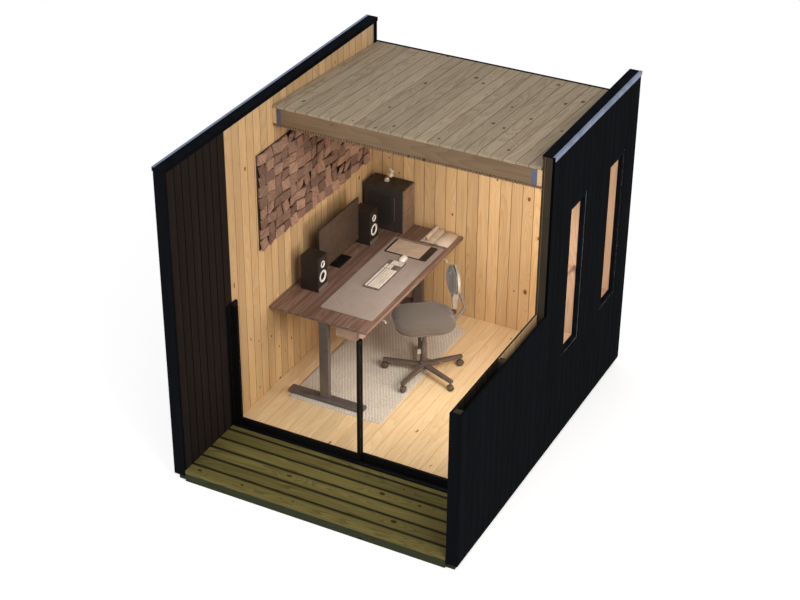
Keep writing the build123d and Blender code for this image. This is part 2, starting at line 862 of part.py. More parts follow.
def make_cabinet():
    left = desk_left + cabinet_left_gap
    back = desk_back - cabinet_back_gap
    right = left + cabinet_width
    front = back - cabinet_depth
    case_right = right - cabinet_front_thick
    write("cabinet_case", block(left, case_right, front, back,
                                desk_top_z, desk_top_z + cabinet_height))
    split = cabinet_height / 2
    drawers = []
    for level in (0, 1):
        z = desk_top_z + level * split
        drawers.append(block(case_right, right, front + cabinet_front_gap, back - cabinet_front_gap,
                             z + cabinet_front_gap / 2, z + split - cabinet_front_gap / 2))
    write("cabinet_fronts", *drawers)


def make_ornament():
    place = Pos(desk_left + ornament_left_gap, desk_back - ornament_back_gap, desk_top_z + cabinet_height)
    foot_z = ornament_base_thick + ornament_foot_radius - ornament_sink
    shape = Pos(0, 0, ornament_base_thick / 2) * Cylinder(ornament_base_radius, ornament_base_thick)
    shape += Pos(0, 0, foot_z) * Sphere(ornament_foot_radius)
    shape += Pos(ornament_body_side, 0, ornament_body_rise) * Sphere(ornament_body_radius)
    neck = FilletPolyline((0, 0, foot_z), (0, 0, ornament_body_rise),
                          (ornament_body_side, 0, ornament_body_rise), radius=2 * ornament_neck_radius)
    shape += sweep(Plane(origin=neck @ 0, z_dir=neck % 0) * Circle(ornament_neck_radius), path=neck)
    leaf = Rot(0, 90, 0) * Cylinder(ornament_leaf_radius, ornament_leaf_length - 2 * ornament_leaf_radius)
    for side in (-1, 1):
        end = side * (ornament_leaf_length / 2 - ornament_leaf_radius)
        leaf += Pos(end, 0, 0) * Sphere(ornament_leaf_radius)
    leaf_place = Pos(ornament_body_side + ornament_neck_radius, 0, ornament_body_rise + ornament_leaf_rise)
    shape += leaf_place * Rot(0, ornament_leaf_lean, 0) * leaf
    stalk = Pos(ornament_body_side + ornament_neck_radius, 0, ornament_body_rise + ornament_leaf_rise / 2)
    shape += stalk * Cylinder(ornament_neck_radius, ornament_leaf_rise)
    write("shelf_ornament", place * shape)


def make_desk_things():
    """Things in a row from the desk's back edge: book, pad, mouse and keyboard, then the rest."""
    make_screen()
    make_speakers()
    make_cabinet()
    make_ornament()
    mat_top = desk_top_z + mat_thick
    flat_thing("desk_mat", mat_left + mat_width / 2, desk_back - mat_back_gap,
               mat_width, mat_length, desk_top_z, mat_thick)
    book_back = desk_back - book_back_gap
    pad_back = book_back - book_length - pad_gap
    mouse_back = pad_back - pad_length - mouse_gap
    keyboard_back = mouse_back - mouse_length - keyboard_gap
    make_book(book_back)
    flat_thing("sketch_pad", pad_x, pad_back, pad_width, pad_length, mat_top, pad_thick)
    make_mouse(mouse_back, mat_top)
    flat_thing("keyboard", keyboard_x, keyboard_back, keyboard_width, keyboard_length,
               mat_top, keyboard_height)


os.makedirs("parts", exist_ok=True)
make_base()
make_floor()
make_deck()
make_left_wall()
make_back_wall()
make_right_wall()
make_wings()
make_caps()
make_roof()
make_windows()
make_glazing()
make_desk()
make_chair()
make_soft_and_panel()
make_desk_things()
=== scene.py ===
import bmesh
import bpy
from math import atan2, cos, pi, radians, sin, tan
from mathutils import Matrix, Vector, noise


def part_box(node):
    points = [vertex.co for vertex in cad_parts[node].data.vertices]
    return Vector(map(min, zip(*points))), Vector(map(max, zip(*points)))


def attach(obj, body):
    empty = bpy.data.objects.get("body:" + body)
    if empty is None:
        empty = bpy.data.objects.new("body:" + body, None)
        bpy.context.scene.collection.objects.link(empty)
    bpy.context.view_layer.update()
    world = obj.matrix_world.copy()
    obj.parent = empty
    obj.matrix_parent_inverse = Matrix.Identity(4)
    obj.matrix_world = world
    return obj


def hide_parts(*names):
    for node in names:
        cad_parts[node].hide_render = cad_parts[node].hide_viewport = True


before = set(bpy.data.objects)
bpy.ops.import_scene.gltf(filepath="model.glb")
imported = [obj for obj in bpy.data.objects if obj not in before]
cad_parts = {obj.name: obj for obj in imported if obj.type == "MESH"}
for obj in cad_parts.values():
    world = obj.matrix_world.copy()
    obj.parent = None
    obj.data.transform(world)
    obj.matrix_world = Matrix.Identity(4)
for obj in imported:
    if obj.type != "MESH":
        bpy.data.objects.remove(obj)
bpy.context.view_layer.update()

scene = bpy.context.scene
pod = "pod"
leaf = "sliding_leaf"
print("frame loaded")


def tone(colour, factor=1.0, lift=0.0):
    # a colour in steps of 0 to 255, made lighter or darker, as linear light
    steps = [min(255, value * factor + lift) / 255 for value in colour]
    return (*(v / 12.92 if v <= 0.04045 else ((v + 0.055) / 1.055) ** 2.4 for v in steps), 1.0)


def feed(tree, node, feeds):
    # sets each input to a value, or links it to the output of another node
    for socket, value in feeds.items():
        if isinstance(value, bpy.types.NodeSocket):
            tree.links.new(value, node.inputs[socket])
        else:
            node.inputs[socket].default_value = value


def put(tree, kind, feeds=None, **settings):
    made = tree.nodes.new(kind)
    for key, value in settings.items():
        setattr(made, key, value)
    feed(tree, made, feeds or {})
    return made.outputs


def sums(tree, operation, first, second=0.0, third=0.0):
    return put(tree, "ShaderNodeMath", {0: first, 1: second, 2: third}, operation=operation)[0]


def times(tree, first, second):
    return sums(tree, "MULTIPLY", first, second)


def plus(tree, first, second):
    return sums(tree, "ADD", first, second)


def minus(tree, first, second):
    return sums(tree, "SUBTRACT", first, second)


def over(tree, first, second):
    return sums(tree, "DIVIDE", first, second)


def timesPlus(tree, first, second, third):
    return sums(tree, "MULTIPLY_ADD", first, second, third)


def stretch(tree, value, low, high, toLow=0.0, toHigh=1.0):
    feeds = {"Value": value, "From Min": low, "From Max": high, "To Min": toLow, "To Max": toHigh}
    return put(tree, "ShaderNodeMapRange", feeds, interpolation_type="SMOOTHSTEP")[0]


def blendColour(tree, factor, first, second, way="MIX"):
    return put(tree, "ShaderNodeMix", {0: factor, 6: first, 7: second}, data_type="RGBA", blend_type=way)[2]


def shaded(tree, colour, level):
    grey = put(tree, "ShaderNodeCombineColor", {0: level, 1: level, 2: level})[0]
    return blendColour(tree, 1.0, colour, grey, "MULTIPLY")


def triple(tree, x, y=0.0, z=0.0):
    return put(tree, "ShaderNodeCombineXYZ", {0: x, 1: y, 2: z})[0]


def axesOf(tree, vector):
    return put(tree, "ShaderNodeSeparateXYZ", {0: vector})


def scaled(tree, vector, x, y, z):
    return put(tree, "ShaderNodeVectorMath", {0: vector, 1: (x, y, z)}, operation="MULTIPLY")[0]


def cloudy(tree, vector, scale, detail, roughness):
    feeds = {"Vector": vector, "Scale": scale, "Detail": detail, "Roughness": roughness}
    return put(tree, "ShaderNodeTexNoise", feeds)[0]


number, whole, vectorKind = "NodeSocketFloat", "NodeSocketInt", "NodeSocketVector"


def newTree(name, inputs, outputs, kind="ShaderNodeTree"):
    # a group with named sockets, where a bare number is a float input with that value
    tree = bpy.data.node_groups.new(name, kind)
    for way, sockets in (("INPUT", inputs), ("OUTPUT", outputs)):
        for label, socket in sockets.items():
            bare = isinstance(socket, float)
            made = tree.interface.new_socket(label, in_out=way, socket_type=number if bare else socket)
            if bare:
                made.default_value = socket
    return tree, tree.nodes.new("NodeGroupInput").outputs, tree.nodes.new("NodeGroupOutput")


def useGroup(tree, group, feeds):
    return put(tree, "ShaderNodeGroup", feeds, node_tree=group)


def makeBoardCells():
    # splits a wall into boards side by side: which board, how near its joint, and its own grain place
    tree, given, out = newTree(
        "boardCells", {"Vector": vectorKind, "Start": 0.0, "Pitch": 0.092, "Joint": 0.003, "Seed": 0.0},
        {"Shade": number, "Joint": number, "Vector": vectorKind})
    pitch = given["Pitch"]
    axes = axesOf(tree, given["Vector"])
    place = over(tree, minus(tree, axes[0], given["Start"]), pitch)
    which = sums(tree, "FLOOR", place)
    within = sums(tree, "FRACT", place)
    seed = plus(tree, which, given["Seed"])
    chance = put(tree, "ShaderNodeTexWhiteNoise", {"W": seed}, noise_dimensions="1D")["Value"]
    nearest = sums(tree, "MINIMUM", within, minus(tree, 1.0, within))
    closeness = over(tree, times(tree, nearest, pitch), given["Joint"])
    own = triple(tree, times(tree, minus(tree, within, 0.5), pitch), timesPlus(tree, chance, 7.3, axes[1]),
                 timesPlus(tree, which, 0.37, axes[2]))
    feed(tree, out, {"Shade": chance, "Joint": stretch(tree, closeness, 0.25, 1.0, 1.0, 0.0), "Vector": own})
    return tree


def makeTimberGrain():
    # growth rings cut lengthwise, fine fibres, and knots that the rings bend round
    tree, given, out = newTree(
        "timberGrain", {"Vector": vectorKind, "Rings": 16.0, "Knots": 0.4, "Knot Size": 0.011},
        {"Rings": number, "Fibre": number, "Knot": number, "Height": number})
    vector = given["Vector"]

    def squared(value, size):
        return sums(tree, "POWER", over(tree, value, size), 2.0)

    wide, far = 1 / 0.1, 1 / 0.45  # a knot cell every 0.1 m across and 0.45 m along
    cell = scaled(tree, vector, wide, far, 1.0)
    knots = put(tree, "ShaderNodeTexVoronoi", {"Vector": cell, "Scale": 1.0, "Randomness": 0.8})
    offset = put(tree, "ShaderNodeVectorMath", {0: knots["Position"], 1: cell}, operation="SUBTRACT")[0]
    real = axesOf(tree, scaled(tree, offset, 1 / wide, 1 / far, 0.0))
    chance = put(tree, "ShaderNodeSeparateColor", {0: knots["Color"]})
    picked = sums(tree, "LESS_THAN", chance[0], given["Knots"])
    size = times(tree, given["Knot Size"], plus(tree, chance[1], 0.4))
    sideways = squared(real[0], size)
    spread = sums(tree, "SQRT", plus(tree, sideways, squared(real[1], times(tree, size, 1.5))))
    knot = times(tree, stretch(tree, spread, 0.75, 1.25, 1.0, 0.0), picked)
    reach = plus(tree, over(tree, sideways, 6.0), squared(real[1], times(tree, size, 9.0)))
    bend = times(tree, sums(tree, "EXPONENT", times(tree, reach, -1.0)), picked)
    field = timesPlus(tree, bend, 0.22, cloudy(tree, scaled(tree, vector, 9.0, 0.75, 9.0), 1.0, 1.0, 0.35))
    line = sums(tree, "FRACT", times(tree, field, given["Rings"]))
    ring = times(tree, sums(tree, "POWER", line, 2.2), stretch(tree, line, 0.93, 1.0, 1.0, 0.0))
    fibre = cloudy(tree, scaled(tree, vector, 260.0, 4.0, 260.0), 1.0, 3.0, 0.6)
    height = timesPlus(tree, knot, -0.4, timesPlus(tree, ring, -0.35, times(tree, fibre, 0.5)))
    feed(tree, out, {"Rings": ring, "Fibre": fibre, "Knot": knot, "Height": height})
    return tree


def makeHandledWear():
    # soft smudges, small scratches and a fine even grain for metal and plastic
    tree, given, out = newTree(
        "handledWear", {"Vector": vectorKind, "Smudge Size": 0.08, "Grain Size": 0.0015},
        {"Smudge": number, "Scratch": number, "Grain": number})
    vector = given["Vector"]
    smudge = cloudy(tree, vector, over(tree, 1.0, given["Smudge Size"]), 3.0, 0.6)
    tilted = put(tree, "ShaderNodeMapping", {"Vector": vector, "Rotation": (0.5, 0.9, 0.4),
                                             "Scale": (90.0, 6.0, 90.0)})[0]
    grain = cloudy(tree, vector, over(tree, 1.0, given["Grain Size"]), 2.0, 0.7)
    feed(tree, out, {"Smudge": stretch(tree, smudge, 0.35, 0.7), "Grain": grain,
                     "Scratch": stretch(tree, cloudy(tree, tilted, 1.0, 1.0, 0.3), 0.74, 0.8)})
    return tree


def makeClothWeave():
    # over and under threads in two directions, with slubs
    tree, given, out = newTree("clothWeave", {"Vector": vectorKind, "Pitch": 0.002, "Looseness": 0.3},
                               {"Height": number, "Shade": number})
    vector = given["Vector"]
    wobble = cloudy(tree, vector, 45.0, 2.0, 0.6)
    axes = axesOf(tree, vector)
    slip = times(tree, minus(tree, wobble, 0.5), given["Looseness"])
    across, along = (plus(tree, over(tree, axes[i], given["Pitch"]), times(tree, slip, sway))
                     for i, sway in ((0, 6.0), (1, 4.0)))
    shifted = plus(tree, along, times(tree, sums(tree, "FLOOR", across), 0.5))
    bar, band = (sums(tree, "ABSOLUTE", sums(tree, "SINE", times(tree, value, pi)))
                 for value in (shifted, across))
    feed(tree, out, {"Height": times(tree, bar, sums(tree, "POWER", band, 0.5)),
                     "Shade": cloudy(tree, scaled(tree, vector, 1.0, 0.35, 1.0), 320.0, 2.0, 0.6)})
    return tree


boardCells = makeBoardCells()
timberGrain = makeTimberGrain()
handledWear = makeHandledWear()
clothWeave = makeClothWeave()


def startFinish(name):
    made = bpy.data.materials.new(name)
    made.use_nodes = True
    return made, made.node_tree, put(made.node_tree, "ShaderNodeTexCoord")["Object"]


def endFinish(made, feeds, height, strength, distance):
    # feeds the material's shader, with a relief on top
    tree = made.node_tree
    bump = put(tree, "ShaderNodeBump", {"Height": height, "Strength": strength, "Distance": distance})[0]
    feed(tree, tree.nodes["Principled BSDF"], {**feeds, "Normal": bump})
    return made


def boardAxes(across, along):
    # the axes that boards lie side by side on, run along and are thick on
    first, second = (Matrix.Identity(3)["xyz".index(axis)] for axis in (across, along))
    return Matrix((first, second, first.cross(second)))


def flattened(tree, place, across, along):
    feeds = {"Vector": place, "Rotation": boardAxes(across, along).to_euler()}
    return put(tree, "ShaderNodeMapping", feeds)[0]


def grained(tree, vector, look):
    return useGroup(tree, timberGrain, {"Vector": vector, "Rings": look["rings"], "Knots": look["knots"],
                                        "Knot Size": look["knotSize"]})


def boardGrain(tree, place, across, along, start, pitch, joint, seed, look):
    # the cells of boards side by side, and the grain in each
    flat = flattened(tree, place, across, along)
    cells = useGroup(tree, boardCells, {"Vector": flat, "Start": start, "Pitch": pitch, "Joint": joint,
                                        "Seed": seed})
    return cells, grained(tree, cells["Vector"], look)


plainTimber = {"contrast": 0.5, "spread": 0.05, "rings": 14.0, "knots": 0.3, "knotSize": 0.013,
               "roughness": 0.7, "sheen": 0.1, "streak": 0.55, "streakWidth": 14.0, "streakFrom": 0.45, "streakTo": 0.75}
pine = dict(plainTimber, light=(214, 180, 134), dark=(178, 134, 88), knot=(108, 54, 26), joint=(112, 70, 36),
            contrast=0.42, spread=0.11, rings=16.0, knots=0.2, knotSize=0.011, roughness=0.48, sheen=0.25)
floorPine = dict(plainTimber, light=(236, 208, 166), dark=(214, 174, 124), knot=(150, 84, 40),
                 joint=(212, 172, 122), spread=0.08, rings=15.0, knots=0.1, knotSize=0.012, roughness=0.4,
                 sheen=0.35)
# painted shade: a darker, pinker copy of the wall pine, for the window reveals
windowPineShaded = dict(plainTimber, light=(186, 150, 122), dark=(150, 114, 88), knot=(112, 72, 50),
                  joint=(128, 84, 60), spread=0.06, knots=0.2, knotSize=0.009, roughness=0.5, sheen=0.15)
roofTimber = dict(plainTimber, light=(170, 155, 132), dark=(128, 104, 78), knot=(92, 62, 42),
                  joint=(98, 80, 60), spread=0.1, knots=0.25, knotSize=0.012, roughness=0.72, streak=0.8, streakWidth=36.0,
                  streakFrom=0.52, streakTo=0.7)
joistTimber = dict(plainTimber, light=(132, 109, 86), dark=(106, 85, 64), knot=(70, 44, 30),
                   joint=(118, 92, 70), rings=10.0)
studTimber = dict(plainTimber, light=(168, 150, 124), dark=(136, 116, 90), knot=(84, 58, 38),
                  joint=(136, 116, 90), rings=10.0, roughness=0.75, sheen=0.08)
# painted shade: a dark copy of the stud timber, for cut faces and stud fronts that lie in shadow
shadedCutTimber = dict(studTimber, light=(60, 53, 43), dark=(46, 40, 32), joint=(46, 40, 32))
deckTimber = dict(plainTimber, light=(114, 105, 60), dark=(70, 64, 36), knot=(34, 25, 14), joint=(8, 9, 7),
                  contrast=0.8, spread=0.12, rings=18.0, knots=0.25, streak=0.5, streakWidth=40.0)
fasciaTimber = dict(plainTimber, light=(56, 58, 40), dark=(38, 40, 28), knot=(20, 18, 12), joint=(30, 30, 20),
                    contrast=0.6, spread=0.1, roughness=0.75, sheen=0.08)
walnut = dict(plainTimber, light=(252, 216, 194), dark=(120, 89, 74), knot=(70, 46, 40), joint=(104, 78, 68),
              contrast=0.85, spread=0.16, rings=26.0, knots=0.05, knotSize=0.01, roughness=0.42, sheen=0.35,
              streak=1.0, streakWidth=42.0, streakFrom=0.43, streakTo=0.6)


def timber(name, look, across, along, start=0.0, pitch=10.0, joint=0.0036, seed=0.0):
    # across and along are the axes that the boards lie side by side and run on
    made, tree, place = startFinish(name)
    cells, grain = boardGrain(tree, place, across, along, start, pitch, joint, seed, look)
    light, dark, spread, width = (look[key] for key in ("light", "dark", "spread", "streakWidth"))
    colour = blendColour(tree, times(tree, grain["Rings"], look["contrast"]), tone(light), tone(dark))
    patch = cloudy(tree, scaled(tree, cells["Vector"], width, 1.1, width), 1.0, 2.0, 0.5)
    worn = times(tree, stretch(tree, patch, look["streakFrom"], look["streakTo"]),
                 look["contrast"] * look["streak"])
    colour = blendColour(tree, worn, colour, tone(dark))
    level = times(tree, stretch(tree, cells["Shade"], 0.0, 1.0, 1.0 - spread, 1.0 + spread),
                  stretch(tree, grain["Fibre"], 0.25, 0.75, 0.93, 1.05))
    colour = shaded(tree, colour, level)
    colour = blendColour(tree, times(tree, grain["Knot"], 0.9), colour, tone(look["knot"]))
    colour = blendColour(tree, times(tree, cells["Joint"], 0.85), colour, tone(look["joint"]))
    rough = stretch(tree, grain["Fibre"], 0.3, 0.7, look["roughness"] - 0.06, look["roughness"] + 0.1)
    return endFinish(made, {"Base Color": colour, "Roughness": rough, "Specular IOR Level": look["sheen"]},
                     grain["Height"], 0.25, 0.0008)


coated = {"colour": (13, 15, 18), "worn": (19, 21, 25), "joint": 0.003, "roughness": 0.75, "specular": 0.008,
          "rings": 12.0, "knots": 0.2, "knotSize": 0.01}
porchLook = dict(coated, colour=(36, 31, 29), worn=(44, 38, 35), joint=0.007, specular=0.01)


def stainedBlack(name, look, across, start=0.0, pitch=10.0):
    # opaque black stain over upright sawn boards: the grain only shows in the gloss and relief
    made, tree, place = startFinish(name)
    cells, grain = boardGrain(tree, place, across, "z", start, pitch, look["joint"], 3.0, look)
    faded = cloudy(tree, scaled(tree, cells["Vector"], 20.0, 1.5, 20.0), 1.0, 3.0, 0.6)
    amount = timesPlus(tree, cells["Shade"], 0.3, times(tree, stretch(tree, faded, 0.4, 0.75), 0.5))
    colour = blendColour(tree, amount, tone(look["colour"]), tone(look["worn"]))
    colour = blendColour(tree, times(tree, cells["Joint"], 0.9), colour, tone(look["colour"], 0.3))
    rough = stretch(tree, grain["Fibre"], 0.3, 0.7, look["roughness"] - 0.08, look["roughness"] + 0.12)
    return endFinish(made, {"Base Color": colour, "Roughness": rough, "Specular IOR Level": look["specular"]},
                     grain["Height"], 0.3, 0.0008)


def hardFinish(name, colour, roughness=0.4, metallic=0.0, specular=0.5, grain=0.15, wear=0.25):
    # painted or bare metal and moulded plastic, with smudges and a few light scratches
    made, tree, place = startFinish(name)
    marks = useGroup(tree, handledWear, {"Vector": place})
    shade = blendColour(tree, marks["Smudge"], tone(colour), tone(colour, 0.9))
    shade = blendColour(tree, times(tree, marks["Scratch"], wear), shade, tone(colour, 1.12, 6))
    rough = stretch(tree, marks["Smudge"], 0.0, 1.0, max(0.04, roughness - 0.07), roughness + 0.08)
    return endFinish(made, {"Base Color": shade, "Roughness": rough, "Metallic": metallic,
                            "Specular IOR Level": specular}, marks["Grain"], grain, 0.00004)


def clearGlass(name, colour):
    # light that only passes through it isn't bent, so it throws no dark shadow
    made, tree, place = startFinish(name)
    shader = tree.nodes["Principled BSDF"]
    marks = useGroup(tree, handledWear, {"Vector": place, "Smudge Size": 0.3})
    feed(tree, shader, {"Base Color": tone(colour), "Transmission Weight": 1.0, "IOR": 1.004,
                        "Roughness": stretch(tree, marks["Smudge"], 0.0, 1.0, 0.0, 0.03)})
    path = put(tree, "ShaderNodeLightPath")
    passing = sums(tree, "MAXIMUM", path["Is Shadow Ray"], path["Is Diffuse Ray"])
    through = put(tree, "ShaderNodeBsdfTransparent", {"Color": tone(colour)})[0]
    both = put(tree, "ShaderNodeMixShader", {0: passing, 1: shader.outputs[0], 2: through})[0]
    feed(tree, tree.nodes["Material Output"], {"Surface": both})
    return made


def cloth(name, colour, fleck, pitch, looseness, sheen=0.3, relief=0.5, depth=0.0006, hollowShade=0.78):
    made, tree, place = startFinish(name)
    weave = useGroup(tree, clothWeave, {"Vector": place, "Pitch": pitch, "Looseness": looseness})
    shade = blendColour(tree, stretch(tree, weave["Shade"], 0.35, 0.65), tone(colour), tone(fleck))
    pressed = cloudy(tree, place, 7.0, 2.0, 0.5)
    # painted shade: the weave's low parts are darkened, down to hollowShade times the colour
    level = times(tree, stretch(tree, weave["Height"], 0.0, 0.8, hollowShade, 1.05),
                  stretch(tree, pressed, 0.3, 0.7, 0.95, 1.04))
    return endFinish(made, {"Base Color": shaded(tree, shade, level), "Roughness": 0.9,
                            "Specular IOR Level": 0.2, "Sheen Weight": sheen}, weave["Height"], relief, depth)


def paperFinish(name, colour, layers=False):
    made, tree, place = startFinish(name)
    height = cloudy(tree, place, 900.0, 3.0, 0.7)
    stain = cloudy(tree, place, 14.0, 3.0, 0.6)
    shade = blendColour(tree, stretch(tree, stain, 0.4, 0.7), tone(colour), tone(colour, 0.93))
    if layers:
        leaves = sums(tree, "ABSOLUTE", sums(tree, "SINE", times(tree, axesOf(tree, place)[2], 4200.0)))
        shade = blendColour(tree, times(tree, leaves, 0.25), shade, tone(colour, 0.93))
        height = plus(tree, height, leaves)
    return endFinish(made, {"Base Color": shade, "Roughness": 0.85, "Specular IOR Level": 0.2},
                     height, 0.15, 0.0002)


def spot(node):
    low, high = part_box(node)
    return Vector(low), Vector(high)


def extent(points):
    points = list(points)
    return [Vector([way(point[i] for point in points) for i in range(3)]) for way in (min, max)]


def stand(name, data):
    made = bpy.data.objects.new(name, data)
    scene.collection.objects.link(made)
    return made


def meshOf(work, outward=False):
    # ends a bmesh as a mesh, with its faces turned outward if asked
    if outward:
        bmesh.ops.recalc_face_normals(work, faces=work.faces)
    mesh = bpy.data.meshes.new("part")
    work.to_mesh(mesh)
    work.free()
    return mesh


def cadMesh(node):
    # a merged copy of a node, with its flat faces whole again
    work = bmesh.new()
    work.from_mesh(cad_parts[node].data)
    bmesh.ops.remove_doubles(work, verts=work.verts, dist=0.00002)
    bmesh.ops.dissolve_limit(work, angle_limit=radians(0.4), verts=work.verts, edges=work.edges)
    for face in work.faces:
        face.material_index = 0
    return meshOf(work)


def looseBoxes(node):
    # the box of each separate solid in a node, in order along Y
    work = bmesh.new()
    work.from_mesh(cadMesh(node))
    seen, boxes = set(), []
    for start in work.verts:
        if start in seen:
            continue
        queue, group = [start], []
        seen.add(start)
        while queue:
            corner = queue.pop()
            group.append(corner.co.copy())
            for edge in corner.link_edges:
                other = edge.other_vert(corner)
                if other not in seen:
                    seen.add(other)
                    queue.append(other)
        boxes.append(extent(group))
    work.free()
    return sorted(boxes, key=lambda box: (round(box[0].y, 3), box[0].x))


def evaluated(host):
    graph = bpy.context.evaluated_depsgraph_get()
    return bpy.data.meshes.new_from_object(host.evaluated_get(graph))


def reworked(mesh, kind, **settings):
    # the mesh with one modifier applied
    host = stand("bench", mesh)
    modifier = host.modifiers.new(kind, kind)
    for key, value in settings.items():
        setattr(modifier, key, value)
    mesh = evaluated(host)
    bpy.data.objects.remove(host)
    return mesh


def edged(mesh, width, segments=2, angle=35):
    return reworked(mesh, "BEVEL", width=width, segments=segments, limit_method="ANGLE",
                    angle_limit=radians(angle))


def thickened(rows, thick, offset=-1.0):
    # a sheet through rows of points, given its thickness
    work = bmesh.new()
    lines = [[work.verts.new(point) for point in row] for row in rows]
    for a, b in zip(lines, lines[1:]):
        for j in range(len(a) - 1):
            work.faces.new((a[j], b[j], b[j + 1], a[j + 1]))
    return reworked(meshOf(work), "SOLIDIFY", thickness=thick, offset=offset)


def cutAway(mesh, tools):
    # the mesh less each of the tool meshes
    for tool in tools:
        holder = stand("cutter", tool)
        mesh = reworked(mesh, "BOOLEAN", operation="DIFFERENCE", object=holder, solver="EXACT")
        bpy.data.objects.remove(holder)
    return mesh


def blockMesh(low, high):
    work = bmesh.new()
    low, high = Vector(low), Vector(high)
    place = Matrix.Translation((low + high) / 2) @ Matrix.Diagonal((*(high - low), 1.0))
    bmesh.ops.create_cube(work, size=1.0, matrix=place)
    return meshOf(work)


def together(meshes):
    # one mesh from several, each with its own material kept
    work = bmesh.new()
    kept = []
    for mesh in meshes:
        kept += [finish for finish in mesh.materials if finish not in kept]
        start = len(work.faces)
        work.from_mesh(mesh)
        work.faces.ensure_lookup_table()
        for face in work.faces[start:]:
            if mesh.materials:
                face.material_index = kept.index(mesh.materials[face.material_index])
    joined = meshOf(work)
    for finish in kept:
        joined.materials.append(finish)
    return joined


def painted(mesh, finish):
    mesh.materials.clear()
    mesh.materials.append(finish)
    return mesh


def piece(name, mesh, finish=None, replaced=(), body=pod, shading="crisp"):
    # shading is flat, smooth, or crisp: flat faces with round edges between them
    if finish is not None:
        painted(mesh, finish)
    if shading == "flat":
        mesh.shade_flat()
    else:
        mesh.shade_smooth()
    if shading == "crisp":
        mesh = reworked(mesh, "WEIGHTED_NORMAL", weight=100, keep_sharp=True)
    mesh.name = name
    made = stand(name, mesh)
    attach(made, body)
    if replaced:
        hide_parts(*replaced)
    return made


def softEdged(node, finish, slot, width=0.0015, segments=2, body=pod):
    mesh = edged(cadMesh(node), width, segments)
    return piece(node + "_piece", mesh, finish, (node,), body, "flat" if segments == 1 else "crisp")


def newField(name, inputs):
    # a geometry tree that makes instances of one material
    tree, given, out = newTree(name, {**inputs, "Finish": "NodeSocketMaterial"},
                               {"Geometry": "NodeSocketGeometry"}, "GeometryNodeTree")
    tree.is_modifier = True
    return tree, given, out


def endField(tree, given, out, placed):
    real = put(tree, "GeometryNodeRealizeInstances", {"Geometry": placed})[0]
    done = put(tree, "GeometryNodeSetMaterial", {"Geometry": real, "Material": given["Finish"]})[0]
    feed(tree, out, {"Geometry": done})
    return tree


def grown(tree, values):
    host = stand("seedling", bpy.data.meshes.new("seedling"))
    modifier = host.modifiers.new("grow", "NODES")
    modifier.node_group = tree
    for item in tree.interface.items_tree:
        if item.item_type == "SOCKET" and item.in_out == "INPUT" and item.name in values:
            modifier[item.identifier] = values[item.name]
    mesh = evaluated(host)
    host.modifiers.remove(modifier)
    bpy.data.objects.remove(host)
    return mesh


def randomVector(tree, low, high, seed):
    return put(tree, "FunctionNodeRandomValue", {0: low, 1: high, "Seed": seed}, data_type="FLOAT_VECTOR")[0]


def randomNumber(tree, low, high, seed):
    return put(tree, "FunctionNodeRandomValue", {2: low, 3: high, "Seed": seed}, data_type="FLOAT")[1]


def makeBoardRow():
    tree, given, out = newField("boardRow", {
        "Boards": whole, "Pitch": number, "Gap": number, "Length": number, "Thickness": number,
        "Unevenness": number, "Seed": whole})
    pitch, uneven = given["Pitch"], given["Unevenness"]
    size = triple(tree, minus(tree, pitch, given["Gap"]), given["Length"],
                  minus(tree, given["Thickness"], uneven))
    board = put(tree, "GeometryNodeMeshCube", {"Size": size})[0]
    span = times(tree, pitch, minus(tree, given["Boards"], 1.0))
    row = put(tree, "GeometryNodeMeshLine", {
        "Count": given["Boards"], "Start Location": triple(tree, times(tree, span, -0.5)),
        "Offset": triple(tree, pitch)}, mode="OFFSET")[0]
    half = times(tree, uneven, 0.5)
    shift = triple(tree, 0.0, 0.0, randomNumber(tree, times(tree, half, -1.0), half, given["Seed"]))
    moved = put(tree, "GeometryNodeSetPosition", {"Geometry": row, "Offset": shift})[0]
    boards = put(tree, "GeometryNodeInstanceOnPoints", {"Points": moved, "Instance": board})[0]
    return endField(tree, given, out, boards)


boardRow = makeBoardRow()
shell = {"lining": 0.092, "cladding": 0.09, "floor": 0.096, "roof": 0.0915, "porch": 0.088, "ceiling": 0.02,
         "fall": tan(radians(3.7))}  # the cover width of each kind of board, and the roof's slope


def boarded(low, high, across, along, cover, finishFor, gap=0.0008, edge=0.0018, seed=1, fall=0.0):
    # fills the box from low to high with boards about cover wide, and gives the mesh
    first, second = "xyz".index(across), "xyz".index(along)
    size = high - low
    count = max(1, round(size[first] / cover))
    pitch = size[first] / count
    mesh = grown(boardRow, {"Boards": count, "Pitch": pitch, "Gap": gap, "Length": size[second],
                            "Thickness": size[3 - first - second], "Unevenness": 0.0006, "Seed": seed,
                            "Finish": finishFor(low[first], pitch)})
    middle = (low + high) / 2
    mesh.transform(boardAxes(across, along).transposed().to_4x4())
    mesh.transform(Matrix.Translation(middle))
    mesh = edged(mesh, edge, 1)
    for corner in mesh.vertices:
        corner.co.z -= (corner.co.y - middle.y) * fall
    return mesh


def pineFor(name, across, along, seed, look=pine):
    return lambda start, pitch: timber(name, look, across, along, start, pitch, seed=seed)


def blackFor(name, look, across):
    return lambda start, pitch: stainedBlack(name, look, across, start, pitch)


for name, node, finish, axes, seed, look, cover, edge in (
        ("left_lining_boards", "left_wall_lining", "pineLeft", "yz", 11.0, pine, "lining", 0.0018),
        ("back_lining_boards", "back_wall_lining", "pineBack", "xz", 47.0, pine, "lining", 0.0018),
        ("floor_boards_piece", "floor_boards", "pineFloor", "xy", 83.0, floorPine, "floor", 0.0012)):
    boards = boarded(*spot(node), *axes, shell[cover], pineFor(finish, *axes, seed, look), edge=edge)
    piece(name, boards, None, (node,), shading="flat")
print("lining and floor laid")

through = Vector((0.2, 0, 0))
windows = [blockMesh(low - through, high + through) for low, high in looseBoxes("window_frames")]
cutY = spot("roof_boards")[0].y


